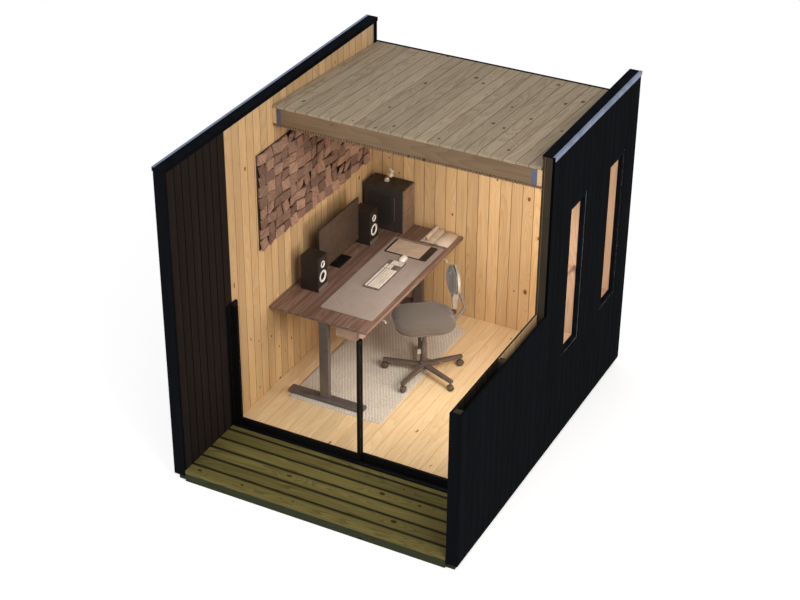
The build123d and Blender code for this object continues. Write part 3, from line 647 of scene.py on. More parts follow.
def rightWall(name, node, cover, finishFor):
    # the low front length and the full height length, with the window holes cut through
    low, high = spot(node)
    top = looseBoxes("wing_cladding")[-1][1].z
    front = boarded(low, Vector((high.x, cutY, top)), "y", "z", cover, finishFor)
    back = boarded(Vector((low.x, cutY, low.z)), high, "y", "z", cover, finishFor, seed=2)
    return piece(name, together([front, cutAway(back, windows)]), None, (node,), shading="flat")


def paintSawnShade(made, finish):
    # painted shade: the cut edges and board sides of the wall, which lie in shadow, take a darker timber than
    # the faces of its boards
    made.data.materials.append(finish)
    for face in made.data.polygons:
        if abs(face.normal.x) < 0.5:
            face.material_index = len(made.data.materials) - 1


rightWall("right_cladding_boards", "right_wall_cladding", shell["cladding"],
          blackFor("blackRight", coated, "y"))
lined = rightWall("right_lining_boards", "right_wall_lining", shell["lining"],
                  pineFor("pineRight", "y", "z", 23.0))
# painted shade on the sawn edges of the right lining
paintSawnShade(lined, timber("sawnEdgeShade", shadedCutTimber, "y", "z"))
for side, across in (("left", "y"), ("back", "x")):
    node = side + "_wall_cladding"
    finishFor = blackFor("black" + side.title(), coated, across)
    piece(side + "_cladding_boards", boarded(*spot(node), across, "z", shell["cladding"], finishFor), None,
          (node,), shading="flat")
wings = [boarded(low, high, "y", "z", shell["porch"], blackFor("blackPorch", porchLook, "y"), seed=4)
         for low, high in looseBoxes("wing_cladding")]
piece("porch_cladding_boards", together(wings), None, ("wing_cladding",), shading="flat")
print("cladding fixed")

capBlack = hardFinish("blackCap", (13, 15, 19), 0.75, 0.0, 0.01, 0.15, 0.1)
deckCut = {"start": spot("deck_boards")[0].y - 0.018, "pitch": 0.118, "joint": 0.02}
for row in (("wall_end_trims", stainedBlack("blackTrim", coated, "x"), "black_trim", 0.003),
            ("wall_caps", capBlack, "black_trim", 0.002),
            # drip edges: metal whose pale blue-grey colour is partly a painted reflection of the sky
            ("cap_drip_edges", hardFinish("dripMetalSkyGlint", (108, 120, 150), 0.35, 0.6), "drip_metal", 0.0008),
            ("roof_back_trim", capBlack, "black_trim", 0.002),
            # the right wall's studs take the dark timber as painted shade, for stud faces in shadow
            ("right_wall_studs", timber("studs", shadedCutTimber, "y", "z"), "stud_timber", 0.002),
            ("left_wall_frame", timber("leftFrame", studTimber, "y", "z"), "stud_timber", 0.002),
            ("back_wall_frame", timber("backFrame", studTimber, "x", "z"), "stud_timber", 0.002),
            ("floor_panel", timber("floorPanel", studTimber, "x", "y"), "base_timber", 0.002),
            ("base_bearers", timber("bearers", fasciaTimber, "x", "y"), "base_timber", 0.003),
            ("base_end_boards", timber("baseEnds", fasciaTimber, "z", "x"), "base_timber", 0.003),
            ("deck_boards", timber("deckBoards", deckTimber, "y", "x", **deckCut), "deck_timber", 0.004, 3),
            ("deck_joists", timber("deckJoists", fasciaTimber, "x", "y"), "base_timber", 0.002),
            ("deck_fascia", timber("deckFascia", fasciaTimber, "z", "x"), "dark_fascia", 0.003),
            ("roof_joists", timber("roofJoists", joistTimber, "z", "x", seed=5.0), "roof_timber", 0.003),
            ("roof_side_rails", timber("sideRails", pine, "z", "y", seed=7.0), "roof_timber", 0.003),
            ("joist_hangers", hardFinish("galvanised", (86, 96, 118), 0.45, 0.2), "galvanised", 0.0006)):
    softEdged(*row)
for node, name, look, cover, gap in (("roof_boards", "roofDeck", roofTimber, "roof", 0.0008),
                                     ("ceiling_boards", "ceiling", joistTimber, "ceiling", 0.006)):
    low, high = spot(node)
    drop = Vector((0, 0, (high.y - low.y) * shell["fall"] / 2))
    mesh = boarded(low + drop, high - drop, "x", "y", shell[cover], pineFor(name, "x", "y", 31.0, look), gap,
                   fall=shell["fall"])
    piece(node + "_piece", mesh, None, (node,), shading="flat")
print("roof and base done")

blackMetal = hardFinish("blackAluminium", (15, 15, 16), 0.5, 0.0, 0.08, 0.2)
softEdged("window_frames", capBlack, "black_aluminium", 0.002)
# the window reveals use the darker pine copy as painted shade
softEdged("window_liners", timber("windowPineShaded", windowPineShaded, "y", "z", seed=19.0), "pine_lining")
for node, body in (("door_jambs", pod), ("door_sill", pod), ("fixed_leaf_frame", pod),
                   ("sliding_leaf_frame", leaf)):
    softEdged(node, blackMetal, "black_aluminium", body=body)
glass = clearGlass("clearGlass", (252, 253, 252))
for node, body in (("window_glass", pod), ("fixed_leaf_glass", pod), ("sliding_leaf_glass", leaf)):
    softEdged(node, glass, "clear_glass", 0.0005, 1, body)
print("glazing done")


def turned(profile, segments=32, centre=(0, 0, 0), axis="z"):
    # a shape turned from (radius, height) points about an axis through centre
    work = bmesh.new()
    rings = []
    for radius, height in profile:
        angles = [2 * pi * i / segments for i in range(segments if radius > 0.00001 else 1)]
        rings.append([work.verts.new((radius * cos(angle), radius * sin(angle), height)) for angle in angles])
    for lower, upper in zip(rings, rings[1:]):
        for i in range(segments):
            corners = [lower[i % len(lower)], lower[(i + 1) % len(lower)],
                       upper[(i + 1) % len(upper)], upper[i % len(upper)]]
            unique = list(dict.fromkeys(corners))
            if len(unique) > 2:
                work.faces.new(unique)
    for ring in (rings[0], rings[-1]):
        if len(ring) > 1:
            work.faces.new(ring)
    mesh = meshOf(work, True)
    turns = {"x": (pi / 2, "Y"), "y": (-pi / 2, "X"), "z": (0.0, "Z")}
    angle, about = turns[axis]
    mesh.transform(Matrix.Translation(centre) @ Matrix.Rotation(angle, 4, about))
    return mesh


def roundedSlab(low, high, corner, edge, upright="z", steps=4):
    # a slab with rounded outline corners, softened along its top and bottom edges
    deep = "xyz".index(upright)
    first, second = (deep + 1) % 3, (deep + 2) % 3
    work = bmesh.new()
    outline = []
    for sideX, sideY, turn in ((1, 1, 0), (-1, 1, 90), (-1, -1, 180), (1, -1, 270)):
        for i in range(steps + 1):
            angle = radians(turn + 90 * i / steps)
            place = list(low)
            place[first] = (high if sideX > 0 else low)[first] + corner * (cos(angle) - sideX)
            place[second] = (high if sideY > 0 else low)[second] + corner * (sin(angle) - sideY)
            outline.append(work.verts.new(place))
    lifted = bmesh.ops.extrude_face_region(work, geom=[work.faces.new(outline)])
    rise = Vector((0, 0, 0))
    rise[deep] = high[deep] - low[deep]
    upper = [part for part in lifted["geom"] if isinstance(part, bmesh.types.BMVert)]
    bmesh.ops.translate(work, verts=upper, vec=rise)
    return edged(meshOf(work, True), edge, 2, 60)


blockPanel = {"columns": 16, "rows": 9, "gap": 0.003, "thick": 0.018, "tilt": 16.0, "turn": 4.0,
              "slip": 0.003, "back": 0.006, "lift": 0.016, "seed": 6}
blockWood = {"light": (164, 132, 114), "dark": (98, 72, 62), "roughness": 0.6, "rings": 22.0, "knots": 0.0,
             "knotSize": 0.01}


def makeBlockField():
    # a grid of blocks, each moved, leant and sized by chance
    tree, given, out = newField("blockField", {
        "Rows": whole, "Columns": whole, "Width": number, "Height": number, "Wide": number, "Tall": number,
        "Thick": number, "Tilt": number, "Turn": number, "Slip": number, "Seed": whole})
    wide, tall, slip, seed = (given[key] for key in ("Wide", "Tall", "Slip", "Seed"))
    lean, spin = given["Tilt"], given["Turn"]
    grid = put(tree, "GeometryNodeMeshGrid", {
        "Size X": minus(tree, given["Width"], wide), "Size Y": minus(tree, given["Height"], tall),
        "Vertices X": given["Columns"], "Vertices Y": given["Rows"]})[0]
    back, leanBack, spinBack = (times(tree, value, -1.0) for value in (slip, lean, spin))
    shift = randomVector(tree, triple(tree, back, back), triple(tree, slip, slip, 0.003), plus(tree, seed, 1))
    moved = put(tree, "GeometryNodeSetPosition", {"Geometry": grid, "Offset": shift})[0]
    turnedBy = randomVector(tree, triple(tree, leanBack, leanBack, spinBack), triple(tree, lean, lean, spin),
                            plus(tree, seed, 2))
    sized = randomVector(tree, (0.9, 0.9, 0.85), (1.0, 1.0, 1.1), plus(tree, seed, 3))
    cube = put(tree, "GeometryNodeMeshCube", {"Size": triple(tree, wide, tall, given["Thick"])})[0]
    placed = put(tree, "GeometryNodeInstanceOnPoints", {
        "Points": moved, "Instance": cube, "Rotation": turnedBy, "Scale": sized})[0]
    named = put(tree, "GeometryNodeStoreNamedAttribute", {
        "Geometry": placed, "Name": "blockTone", "Value": randomNumber(tree, 0.0, 1.0, seed)},
        data_type="FLOAT", domain="INSTANCE")[0]
    return endField(tree, given, out, named)


def splitBlocks(look):
    # sawn walnut blocks, each with its own tone and grain direction
    made, tree, place = startFinish("splitBlocks")
    mark = put(tree, "ShaderNodeAttribute", attribute_name="blockTone")["Fac"]
    feeds = {"Vector": flattened(tree, place, "y", "z"), "Angle": times(tree, mark, 40.0)}
    spin = put(tree, "ShaderNodeVectorRotate", feeds, rotation_type="Z_AXIS")[0]
    streak = cloudy(tree, scaled(tree, spin, 190.0, 9.0, 60.0), 1.0, 2.0, 0.6)
    rings = times(tree, grained(tree, spin, look)["Rings"], 0.3)
    amount = timesPlus(tree, stretch(tree, streak, 0.35, 0.65), 0.5, rings)
    colour = blendColour(tree, amount, tone(look["light"]), tone(look["dark"]))
    colour = shaded(tree, colour, stretch(tree, mark, 0.0, 1.0, 0.66, 1.36))
    return endFinish(made, {"Base Color": colour, "Roughness": look["roughness"], "Specular IOR Level": 0.2},
                     streak, 0.4, 0.0008)


def hangBlockPanel():
    low, high = spot("wall_panel")
    middle = (low + high) / 2
    width, height = high.y - low.y, high.z - low.z
    columns, rows, gap = blockPanel["columns"], blockPanel["rows"], blockPanel["gap"]
    mesh = grown(makeBlockField(), {
        "Rows": rows, "Columns": columns, "Width": width, "Height": height, "Wide": width / columns - gap,
        "Tall": height / rows - gap, "Thick": blockPanel["thick"], "Tilt": radians(blockPanel["tilt"]),
        "Turn": radians(blockPanel["turn"]), "Slip": blockPanel["slip"], "Seed": blockPanel["seed"],
        "Finish": splitBlocks(blockWood)})
    mesh.transform(boardAxes("y", "z").transposed().to_4x4())
    mesh.transform(Matrix.Translation((low.x + blockPanel["lift"], middle.y, middle.z)))
    mesh = edged(mesh, 0.0012, 1)
    for corner in mesh.vertices:
        corner.co.x = max(corner.co.x, low.x + 0.0002)
        corner.co.y = min(max(corner.co.y, low.y), high.y)
        corner.co.z = min(max(corner.co.z, low.z), high.z)
    back = edged(blockMesh(low, (low.x + blockPanel["back"], high.y, high.z)), 0.001, 1)
    painted(back, hardFinish("panelBack", (52, 38, 36), 0.7))
    piece("block_panel", together([mesh, back]), None, ("wall_panel",), shading="flat")


hangBlockPanel()
print("block panel hung")

deskCut = {"start": -1.02, "pitch": 0.27, "joint": 0.0}
deskSteel = hardFinish("deskSteel", (112, 102, 99), 0.36, 0.25)
softEdged("desk_top", timber("walnutTop", walnut, "x", "y", **deskCut), "walnut", 0.003, 3)
softEdged("desk_legs", deskSteel, "desk_steel", 0.003, 3)


def buildDeskRail():
    # the rail in dark steel, and the bag hooks screwed under its edge in pale metal
    mesh = cadMesh("desk_rail")
    near = Vector((0.0001, 0.0001, 0.0001))
    hooks = [(low - near, high + near) for low, high in looseBoxes("desk_rail") if high.y - low.y < 0.1]
    for face in mesh.polygons:
        face.material_index = int(any(all(low[i] <= face.center[i] <= high[i] for i in range(3))
                                      for low, high in hooks))
    mesh.materials.append(deskSteel)
    mesh.materials.append(hardFinish("hookMetal", (214, 206, 196), 0.35, 0.5))
    piece("desk_rail_and_hooks", edged(mesh, 0.0008), None, ("desk_rail",))


buildDeskRail()
drawer = {"front": 0.016, "lip": 0.004, "drop": 0.003}


def buildDeskDrawer():
    # a box with its own front panel on the right, and a thin shadow gap behind it
    low, high = spot("desk_drawer")
    split = high.x - drawer["front"]
    lip = drawer["lip"]
    body = blockMesh(low, (split - lip, high.y, high.z))
    front = blockMesh((split, low.y, low.z), (high.x, high.y, high.z - drawer["drop"]))
    joint = blockMesh((split - lip, low.y + lip, low.z + lip), (split, high.y - lip, high.z - lip))
    piece("desk_drawer_box", together([edged(body, 0.0015), edged(front, 0.002), joint]),
          hardFinish("beigeBoard", (190, 158, 136), 0.6), ("desk_drawer",))


buildDeskDrawer()
felt = cloth("greyFelt", (172, 156, 146), (152, 136, 126), 0.0018, 0.35, relief=0.35)
mat = roundedSlab(*spot("desk_mat"), 0.012, 0.0008, steps=6)
piece("desk_mat_sheet", mat, felt, ("desk_mat",))
monitor = {"panel": 0.009, "bezel": 0.007, "glass": 0.0012, "sunk": 0.0004, "rear": Vector((0, 0.36, 0.2))}


def buildMonitor():
    low, high = spot("monitor_screen")
    middle = (low + high) / 2
    split = high.x - monitor["panel"]
    rim, thick, half = monitor["bezel"], monitor["glass"], monitor["rear"] / 2
    front = roundedSlab((split, low.y, low.z), (high.x - thick, high.y, high.z), 0.006, 0.0015, "x")
    rear = roundedSlab((low.x, middle.y - half.y, middle.z - half.z),
                       (split + 0.001, middle.y + half.y, middle.z + half.z), 0.03, 0.005, "x", 5)
    piece("monitor_shell", together([front, rear]), hardFinish("screenShell", (34, 30, 28), 0.45),
          ("monitor_screen",))
    pane = roundedSlab((high.x - thick - monitor["sunk"], low.y + rim, low.z + rim),
                       (high.x, high.y - rim, high.z - rim), 0.003, 0.0003, "x", 3)
    shiny = hardFinish("screenGlass", (78, 64, 54), 0.28, 0.0, 0.5, 0.02, 0.02)
    piece("monitor_glass", pane, shiny)
    softEdged("monitor_stand", hardFinish("standBlack", (16, 14, 13), 0.4), "black_plastic", 0.003, 3)


# the drivers as height and radius; the ring and cone as shares of that radius, and a height
speaker = {"drivers": ((0.212, 0.029), (0.112, 0.05)), "drilled": 0.014, "panel": 0.036, "panelOut": 0.004,
           "ring": ((0.62, -0.006), (0.66, 0.0015), (0.74, 0.0035), (0.9, 0.0035), (0.97, 0.0012),
                    (0.98, -0.006)),
           "cone": ((0.97, -0.012), (0.66, -0.0045), (0.6, -0.003), (0.28, -0.009), (0.26, -0.007),
                    (0.18, -0.003), (0.0, -0.0012))}


def buildSpeakers():
    # in each case, white rings round dark cones with a dust cap, and a grey panel below
    cases, rings, cones, panels = [], [], [], []
    out = speaker["panelOut"]
    for low, high in looseBoxes("speakers"):
        middle = (low.y + high.y) / 2
        places = [((high.x, middle, low.z + lift), radius) for lift, radius in speaker["drivers"]]
        drills = [turned([(radius, -speaker["drilled"]), (radius, 0.02)], 40, centre, "x")
                  for centre, radius in places]
        cases.append(cutAway(edged(blockMesh(low, high), 0.003), drills))
        for centre, radius in places:
            for made, shape in ((rings, "ring"), (cones, "cone")):
                made.append(turned([(radius * share, z) for share, z in speaker[shape]], 44, centre, "x"))
        panel = blockMesh((high.x - out, low.y + 0.002, low.z + 0.001),
                          (high.x + out, high.y - 0.002, low.z + speaker["panel"]))
        panels.append(edged(panel, 0.0015))
    meshes = [painted(together(cases), hardFinish("speakerCase", (43, 36, 32), 0.5, 0.0, 0.25)),
              painted(together(rings), hardFinish("ringWhite", (240, 236, 230), 0.4)),
              painted(together(cones), hardFinish("coneBlack", (26, 23, 21), 0.6)),
              painted(together(panels), hardFinish("panelGrey", (112, 101, 91), 0.5))]
    piece("speaker_pair", together(meshes), None, ("speakers",))


buildMonitor()
buildSpeakers()
print("screen and speakers set")

keys = {"pitch": 0.0192, "cap": 0.0168, "tall": 0.008, "rim": (0.009, 0.008), "mainRows": 0.025,
        "arrows": 0.298, "numbers": 0.364}


def makeKeyField():
    # a grid of key caps, each narrower at its top
    tree, given, out = newField("keyField", {"Rows": whole, "Columns": whole, "Pitch": number, "Cap": number,
                                             "Tall": number})
    rows, columns, cap = given["Rows"], given["Columns"], given["Cap"]
    spans = [times(tree, given["Pitch"], minus(tree, count, 1.0)) for count in (rows, columns)]
    grid = put(tree, "GeometryNodeMeshGrid", {"Size X": spans[0], "Size Y": spans[1], "Vertices X": rows,
                                              "Vertices Y": columns})[0]
    block = put(tree, "GeometryNodeMeshCube", {"Size": triple(tree, cap, cap, given["Tall"])})[0]
    here = put(tree, "GeometryNodeInputPosition")[0]
    upper = sums(tree, "GREATER_THAN", axesOf(tree, here)[2], 0.0)
    shaped = put(tree, "GeometryNodeSetPosition", {"Geometry": block, "Selection": upper,
                                                   "Offset": scaled(tree, here, -0.16, -0.2, 0.0)})[0]
    return endField(tree, given, out, put(tree, "GeometryNodeInstanceOnPoints", {"Points": grid,
                                                                                 "Instance": shaped})[0])


def buildKeyboard():
    low, high = spot("keyboard")
    cream = hardFinish("keyCream", (232, 220, 208), 0.45, grain=0.05)
    brown = hardFinish("keyBrown", (132, 108, 94), 0.5, grain=0.05)
    base = painted(roundedSlab(low, (high.x, high.y, high.z - keys["tall"]), 0.006, 0.002),
                   hardFinish("keyboardBase", (112, 98, 98), 0.5))
    field = makeKeyField()
    pitch, tall, (startX, startY) = keys["pitch"], keys["tall"], keys["rim"]
    main, arrows, numbers = keys["mainRows"], keys["arrows"], keys["numbers"]
    caps = []
    for rows, columns, x, y, finish in (
            (1, 15, 0.0, 0.0, cream), (5, 15, main, 0.0, cream), (1, 3, 0.0, arrows, cream),
            (2, 3, main, arrows, cream), (1, 3, main + 4 * pitch, arrows, brown),
            (1, 1, main + 3 * pitch, arrows + pitch, brown), (5, 3, main, numbers, cream),
            (1, 3, 0.0, numbers, brown)):
        mesh = grown(field, {"Rows": rows, "Columns": columns, "Pitch": pitch, "Cap": keys["cap"],
                             "Tall": tall, "Finish": finish})
        middle = (low.x + startX + x + rows * pitch / 2, low.y + startY + y + columns * pitch / 2,
                  high.z - tall / 2)
        mesh.transform(Matrix.Translation(middle))
        caps.append(mesh)
    mesh = together([base, edged(together(caps), 0.0012)])
    piece("keyboard_piece", mesh, None, ("keyboard",))


mouse = {"rows": 14, "foot": (0.93, 0.12), "curve": 2.6, "waist": 0.1, "back": 0.22,
         "wheelPlace": (-0.018, 0.014), "wheel": ((0.0, -0.003), (0.007, -0.003), (0.0085, -0.0015),
                                                    (0.0085, 0.0015), (0.007, 0.003), (0.0, 0.003))}


def buildMouse():
    # a low rounded shell on a foot, with a wheel between two buttons
    low, high = spot("mouse")
    middle, reach = (low + high) / 2, (high - low) / 2
    foot, rise = mouse["foot"]
    profile = [(foot, 0.0)]
    for i in range(mouse["rows"] + 1):
        lift = i / mouse["rows"]
        profile.append((max(0.0, 1 - lift ** mouse["curve"]) ** 0.5, rise + (1 - rise) * lift))
    body = turned(profile, 40)
    for corner in body.vertices:
        x, y, z = corner.co
        waist = 1 - mouse["waist"] * cos(pi * y) * (1 - z)
        back = 1 - mouse["back"] * (0.5 - 0.5 * y)
        corner.co = (middle.x + x * reach.x * waist, middle.y + y * reach.y, low.z + z * 2 * reach.z * back)
    along, sunk = mouse["wheelPlace"]
    wheel = turned(mouse["wheel"], 20, (middle.x + along, middle.y, high.z - sunk), "y")
    painted(body, hardFinish("mouseCream", (238, 230, 220), 0.4, grain=0.03))
    painted(wheel, hardFinish("mouseWheel", (60, 54, 50), 0.5))
    piece("mouse_piece", together([body, wheel]), None, ("mouse",), shading="smooth")


pad = {"board": 0.006, "rightStrip": 0.058, "leftStrip": 0.016, "side": 0.007, "page": 0.0008,
       "crease": 0.00084, "curl": 0.022, "ripple": 0.0004}


def buildSketchPad():
    # a page on a black board, with a crease near its middle and one corner curling up
    low, high = spot("sketch_pad")
    board = painted(roundedSlab(low, (high.x, high.y, low.z + pad["board"]), 0.008, 0.0012),
                    hardFinish("padBlack", (34, 30, 28), 0.45))
    startX, startY = low.x + pad["leftStrip"], low.y + pad["side"]
    wide, tall = high.x - pad["rightStrip"] - startX, high.y - pad["side"] - startY
    columns, rows = 48, 24

    def corner(u, v):
        crease = pad["crease"] * (1 - min(1.0, abs(u - 0.48) * 12))
        curl = pad["curl"] * max(0.0, u - 0.9) * v
        ripple = pad["ripple"] * noise.noise(Vector((u * 5, v * 5, 0.3)))
        return startX + wide * u, startY + tall * v, low.z + pad["board"] + 0.001 + curl - crease + ripple

    page = thickened([[corner(i / columns, j / rows) for j in range(rows + 1)] for i in range(columns + 1)],
                     pad["page"])
    painted(page, paperFinish("padPaper", (208, 186, 166)))
    piece("sketch_pad_piece", together([board, page]), None, ("sketch_pad",))


book = {"cover": 0.0025, "overlap": (0.0005, 0.0015, 0), "leaf": 0.0011, "swell": ((1, 0.02), (-1, 0.011)),
        "lift": ((-0.004, 0.012), (-0.02, 0.02), (-0.036, 0.022), (-0.05, 0.02)), "rollAt": -0.074,
        "roll": 0.017}


def buildBook():
    # open near its middle: flat leaves on the right, a few leaves rolling back on the left
    low, high = spot("open_book")
    spine, half = (low.x + high.x) / 2, (high.x - low.x) / 2
    meshes = []
    for side, top in book["swell"]:
        outline = []
        for i in range(17):
            t = i / 16
            rise = sin(pi * min(1.0, t * 1.05 + 0.04)) ** 0.6
            outline.append((side * half * t, 0.004 + top * rise * (1 - 0.35 * t)))
        outline += [(side * half, book["cover"]), (0.0, book["cover"])]
        work = bmesh.new()
        near, far = ([work.verts.new((spine + x, y, low.z + z)) for x, z in outline] for y in (low.y, high.y))
        work.faces.new(near)
        work.faces.new(far)
        for i, k in zip(range(len(outline)), [*range(1, len(outline)), 0]):
            work.faces.new((near[i], near[k], far[k], far[i]))
        meshes.append(meshOf(work, True))
    leaves = painted(together(meshes), paperFinish("bookLeaves", (220, 203, 184), True))
    points = list(book["lift"])
    for i in range(22):
        angle = radians(-60 - i * 17)
        grip = book["roll"] * (1 - 0.012 * i)
        points.append((book["rollAt"] - grip * cos(angle), 0.0135 + book["roll"] * 1.12 + grip * sin(angle)))
    roll = thickened([[(spine + x, y, low.z + z) for y in (low.y, high.y)] for x, z in points], book["leaf"])
    painted(roll, paperFinish("rolledLeaf", (208, 190, 168)))
    past = Vector(book["overlap"])
    cover = edged(blockMesh(low - past, Vector((high.x, high.y, low.z + book["cover"])) + past), 0.0008)
    painted(cover, hardFinish("bookCover", (176, 150, 124), 0.7))
    piece("book_piece", together([leaves, roll, cover]), None, ("open_book",))


buildKeyboard()
buildMouse()
buildSketchPad()
buildBook()
print("desk things laid out")

# the door and the handle run from and to a share of the width, and stop short of the foot and the top
cabinet = {"door": (0.12, 0.72, 0.05, 0.06), "handle": (0.78, 0.09, 0.075), "handleWide": 0.009, "buttons": 9,
           "buttonPitch": 0.021, "button": ((0.0, 0.0), (0.0042, 0.0), (0.0042, 0.0015), (0.0, 0.0022))}


def buildCabinet():
    # a dark tower: recessed door panel and upright handle on its front, two pale panels on its right; the
    # handle's pale steel is partly a painted highlight, and the panels are paler partly as painted light on
    # the lit side
    low, high = spot("cabinet_case")
    width = high.x - low.x
    start, end, foot, top = cabinet["door"]
    door = roundedSlab((low.x + width * start, low.y - 0.003, low.z + foot),
                       (low.x + width * end, low.y + 0.002, high.z - top), 0.012, 0.0012, "y")
    start, foot, top = cabinet["handle"]
    handle = roundedSlab((low.x + width * start, low.y - 0.006, low.z + foot),
                         (low.x + width * start + cabinet["handleWide"], low.y + 0.002, high.z - top), 0.004,
                         0.0015, "y")
    case = edged(cadMesh("cabinet_case"), 0.003)
    meshes = [painted(case, hardFinish("cabinetDark", (56, 50, 47), 0.5, 0.0, 0.35)),
              painted(door, hardFinish("cabinetDoor", (50, 45, 42), 0.4)),
              # the handle's pale steel colour is partly a painted highlight
              painted(handle, hardFinish("handleSteelHighlight", (120, 106, 94), 0.35, 0.6))]
    piece("cabinet_body", together(meshes), None, ("cabinet_case",))
    low, high = spot("cabinet_fronts")
    fronts = edged(cadMesh("cabinet_fronts"), 0.002)
    # the side panels are paler than the case partly as painted light on the lit right side
    painted(fronts, hardFinish("cabinetFrontsLitSide", (140, 114, 94), 0.6))
    buttons = [turned(cabinet["button"], 14, (high.x - 0.0002, high.y - 0.012,
                                              high.z - 0.02 - i * cabinet["buttonPitch"]), "x")
               for i in range(cabinet["buttons"])]
    buttons = painted(together(buttons), hardFinish("paleStuds", (206, 190, 172), 0.4))
    piece("cabinet_front_panels", together([fronts, buttons]), None, ("cabinet_fronts",))


buildCabinet()
ornament = {"copper": (0.22, 0.5), "copperWide": 0.03}


def setOrnament():
    # cream lobes on a copper stalk
    low, high = spot("shelf_ornament")
    mesh = edged(cadMesh("shelf_ornament"), 0.0006)
    mesh.materials.append(hardFinish("creamGlaze", (232, 220, 200), 0.3))
    mesh.materials.append(hardFinish("copperGlaze", (170, 112, 80), 0.3, 0.4))
    start, end = ornament["copper"]
    for face in mesh.polygons:
        height = (face.center.z - low.z) / (high.z - low.z)
        face.material_index = int(start < height < end and face.center.x < low.x + ornament["copperWide"])
    piece("shelf_ornament_piece", mesh, None, ("shelf_ornament",))


setOrnament()
stuffing = {"uniform_pressure_force": 4.0, "use_pressure": True, "quality": 4, "tension_stiffness": 20,
            "compression_stiffness": 20, "bending_stiffness": 1.5}


def plumped(mesh, voxel, cap, shrink):
    # a stuffed cover: the shape starts a little small and swells until it reaches its cap
    mesh = reworked(mesh, "REMESH", mode="VOXEL", voxel_size=voxel, use_smooth_shade=True)
    mesh = reworked(mesh, "SMOOTH", factor=0.5, iterations=6)
    start = [corner.co - corner.normal * shrink for corner in mesh.vertices]
    for corner, place in zip(mesh.vertices, start):
        corner.co = place
    host = stand("cover", mesh)
    swell = host.modifiers.new("swell", "CLOTH")
    for key, value in stuffing.items():
        setattr(swell.settings, key, value)
    swell.settings.effector_weights.gravity = 0.0
    for step in range(1, 21):
        scene.frame_set(step)
    mesh = evaluated(host)
    bpy.data.objects.remove(host)
    scene.frame_set(1)
    for corner, place in zip(mesh.vertices, start):
        move = corner.co - place
        if move.length > cap:
            corner.co = place + move.normalized() * cap
    return reworked(mesh, "SUBSURF", levels=1, render_levels=1)


chair = {"centre": (-0.09, 0.445, 0.0), "turn": 35.0, "crown": 0.005, "shoulder": 0.012, "bulge": 0.012,
         "shellIn": 0.03}
chairPlace = Matrix.Translation(chair["centre"]) @ Matrix.Rotation(radians(chair["turn"]), 4, "Z")


def roundSeat(corner, u, v, w):
    fall = chair["shoulder"] * max(0.0, u * u + v * v - 0.3) + chair["crown"] * (u * u)
    corner.co.z -= max(0.0, w) * fall


def hollowBack(corner, u, v, w):
    corner.co.x += max(0.0, (1 - u) / 2) * chair["bulge"] * min(1.0, v * v + w * w)


def cushion(name, node, colour, voxel, cap, shrink, shaping):
    # plumps a pad with the chair facing ahead, eases it back inside its own box and shapes it
    mesh = cadMesh(node)
    mesh.transform(chairPlace.inverted())
    low, high = extent(corner.co for corner in mesh.vertices)
    middle = (low + high) / 2
    mesh = plumped(mesh, voxel, cap, shrink)
    nowLow, nowHigh = extent(corner.co for corner in mesh.vertices)
    for corner in mesh.vertices:
        for i in range(3):
            share = (corner.co[i] - nowLow[i]) / (nowHigh[i] - nowLow[i])
            corner.co[i] = low[i] + share * (high[i] - low[i])
    for corner in mesh.vertices:
        shaping(corner, *((corner.co[i] - middle[i]) / (high[i] - middle[i]) for i in range(3)))
    mesh.transform(chairPlace)
    fabric = cloth(name.split("_")[0] + "Fabric", colour, colour, 0.0022, 0.3, 0.4)
    made = piece(name, mesh, fabric, (node,), shading="smooth")
    return low, high


shellFinish = hardFinish("backShell", (150, 139, 127), 0.45, 0.0, 0.3)
softEdged("chair_back_shell", shellFinish, "chair_tube", 0.004, 3)
softEdged("chair_back_tube", hardFinish("chairTube", (128, 116, 107), 0.4, 0.2), "chair_tube", 0.0004)
softEdged("chair_base", hardFinish("chairBase", (100, 86, 78), 0.5, 0.0, 0.4), "black_plastic", 0.006, 3)


def buildCushions():
    low, high = cushion("seat_cushion", "chair_seat", (90, 78, 67), 0.006, 0.012, 0.008, roundSeat)
    inset = chair["shellIn"]
    under = roundedSlab((low.x + inset, low.y + inset, low.z - 0.001),
                        (high.x - inset, high.y - inset, low.z + 0.016), 0.12, 0.004, "z", 8)
    under.transform(chairPlace)
    piece("seat_shell", under, hardFinish("seatShell", (66, 58, 53), 0.5))
    cushion("back_cushion", "chair_back", (70, 63, 57), 0.005, 0.009, 0.006, hollowBack)


caster = {"radius": 0.025, "inner": 0.003, "outer": 0.0165, "hoodGap": 0.0025, "hoodHalf": 0.0125,
          "hood": 0.0022, "stem": 0.008, "stemFrom": 0.024}


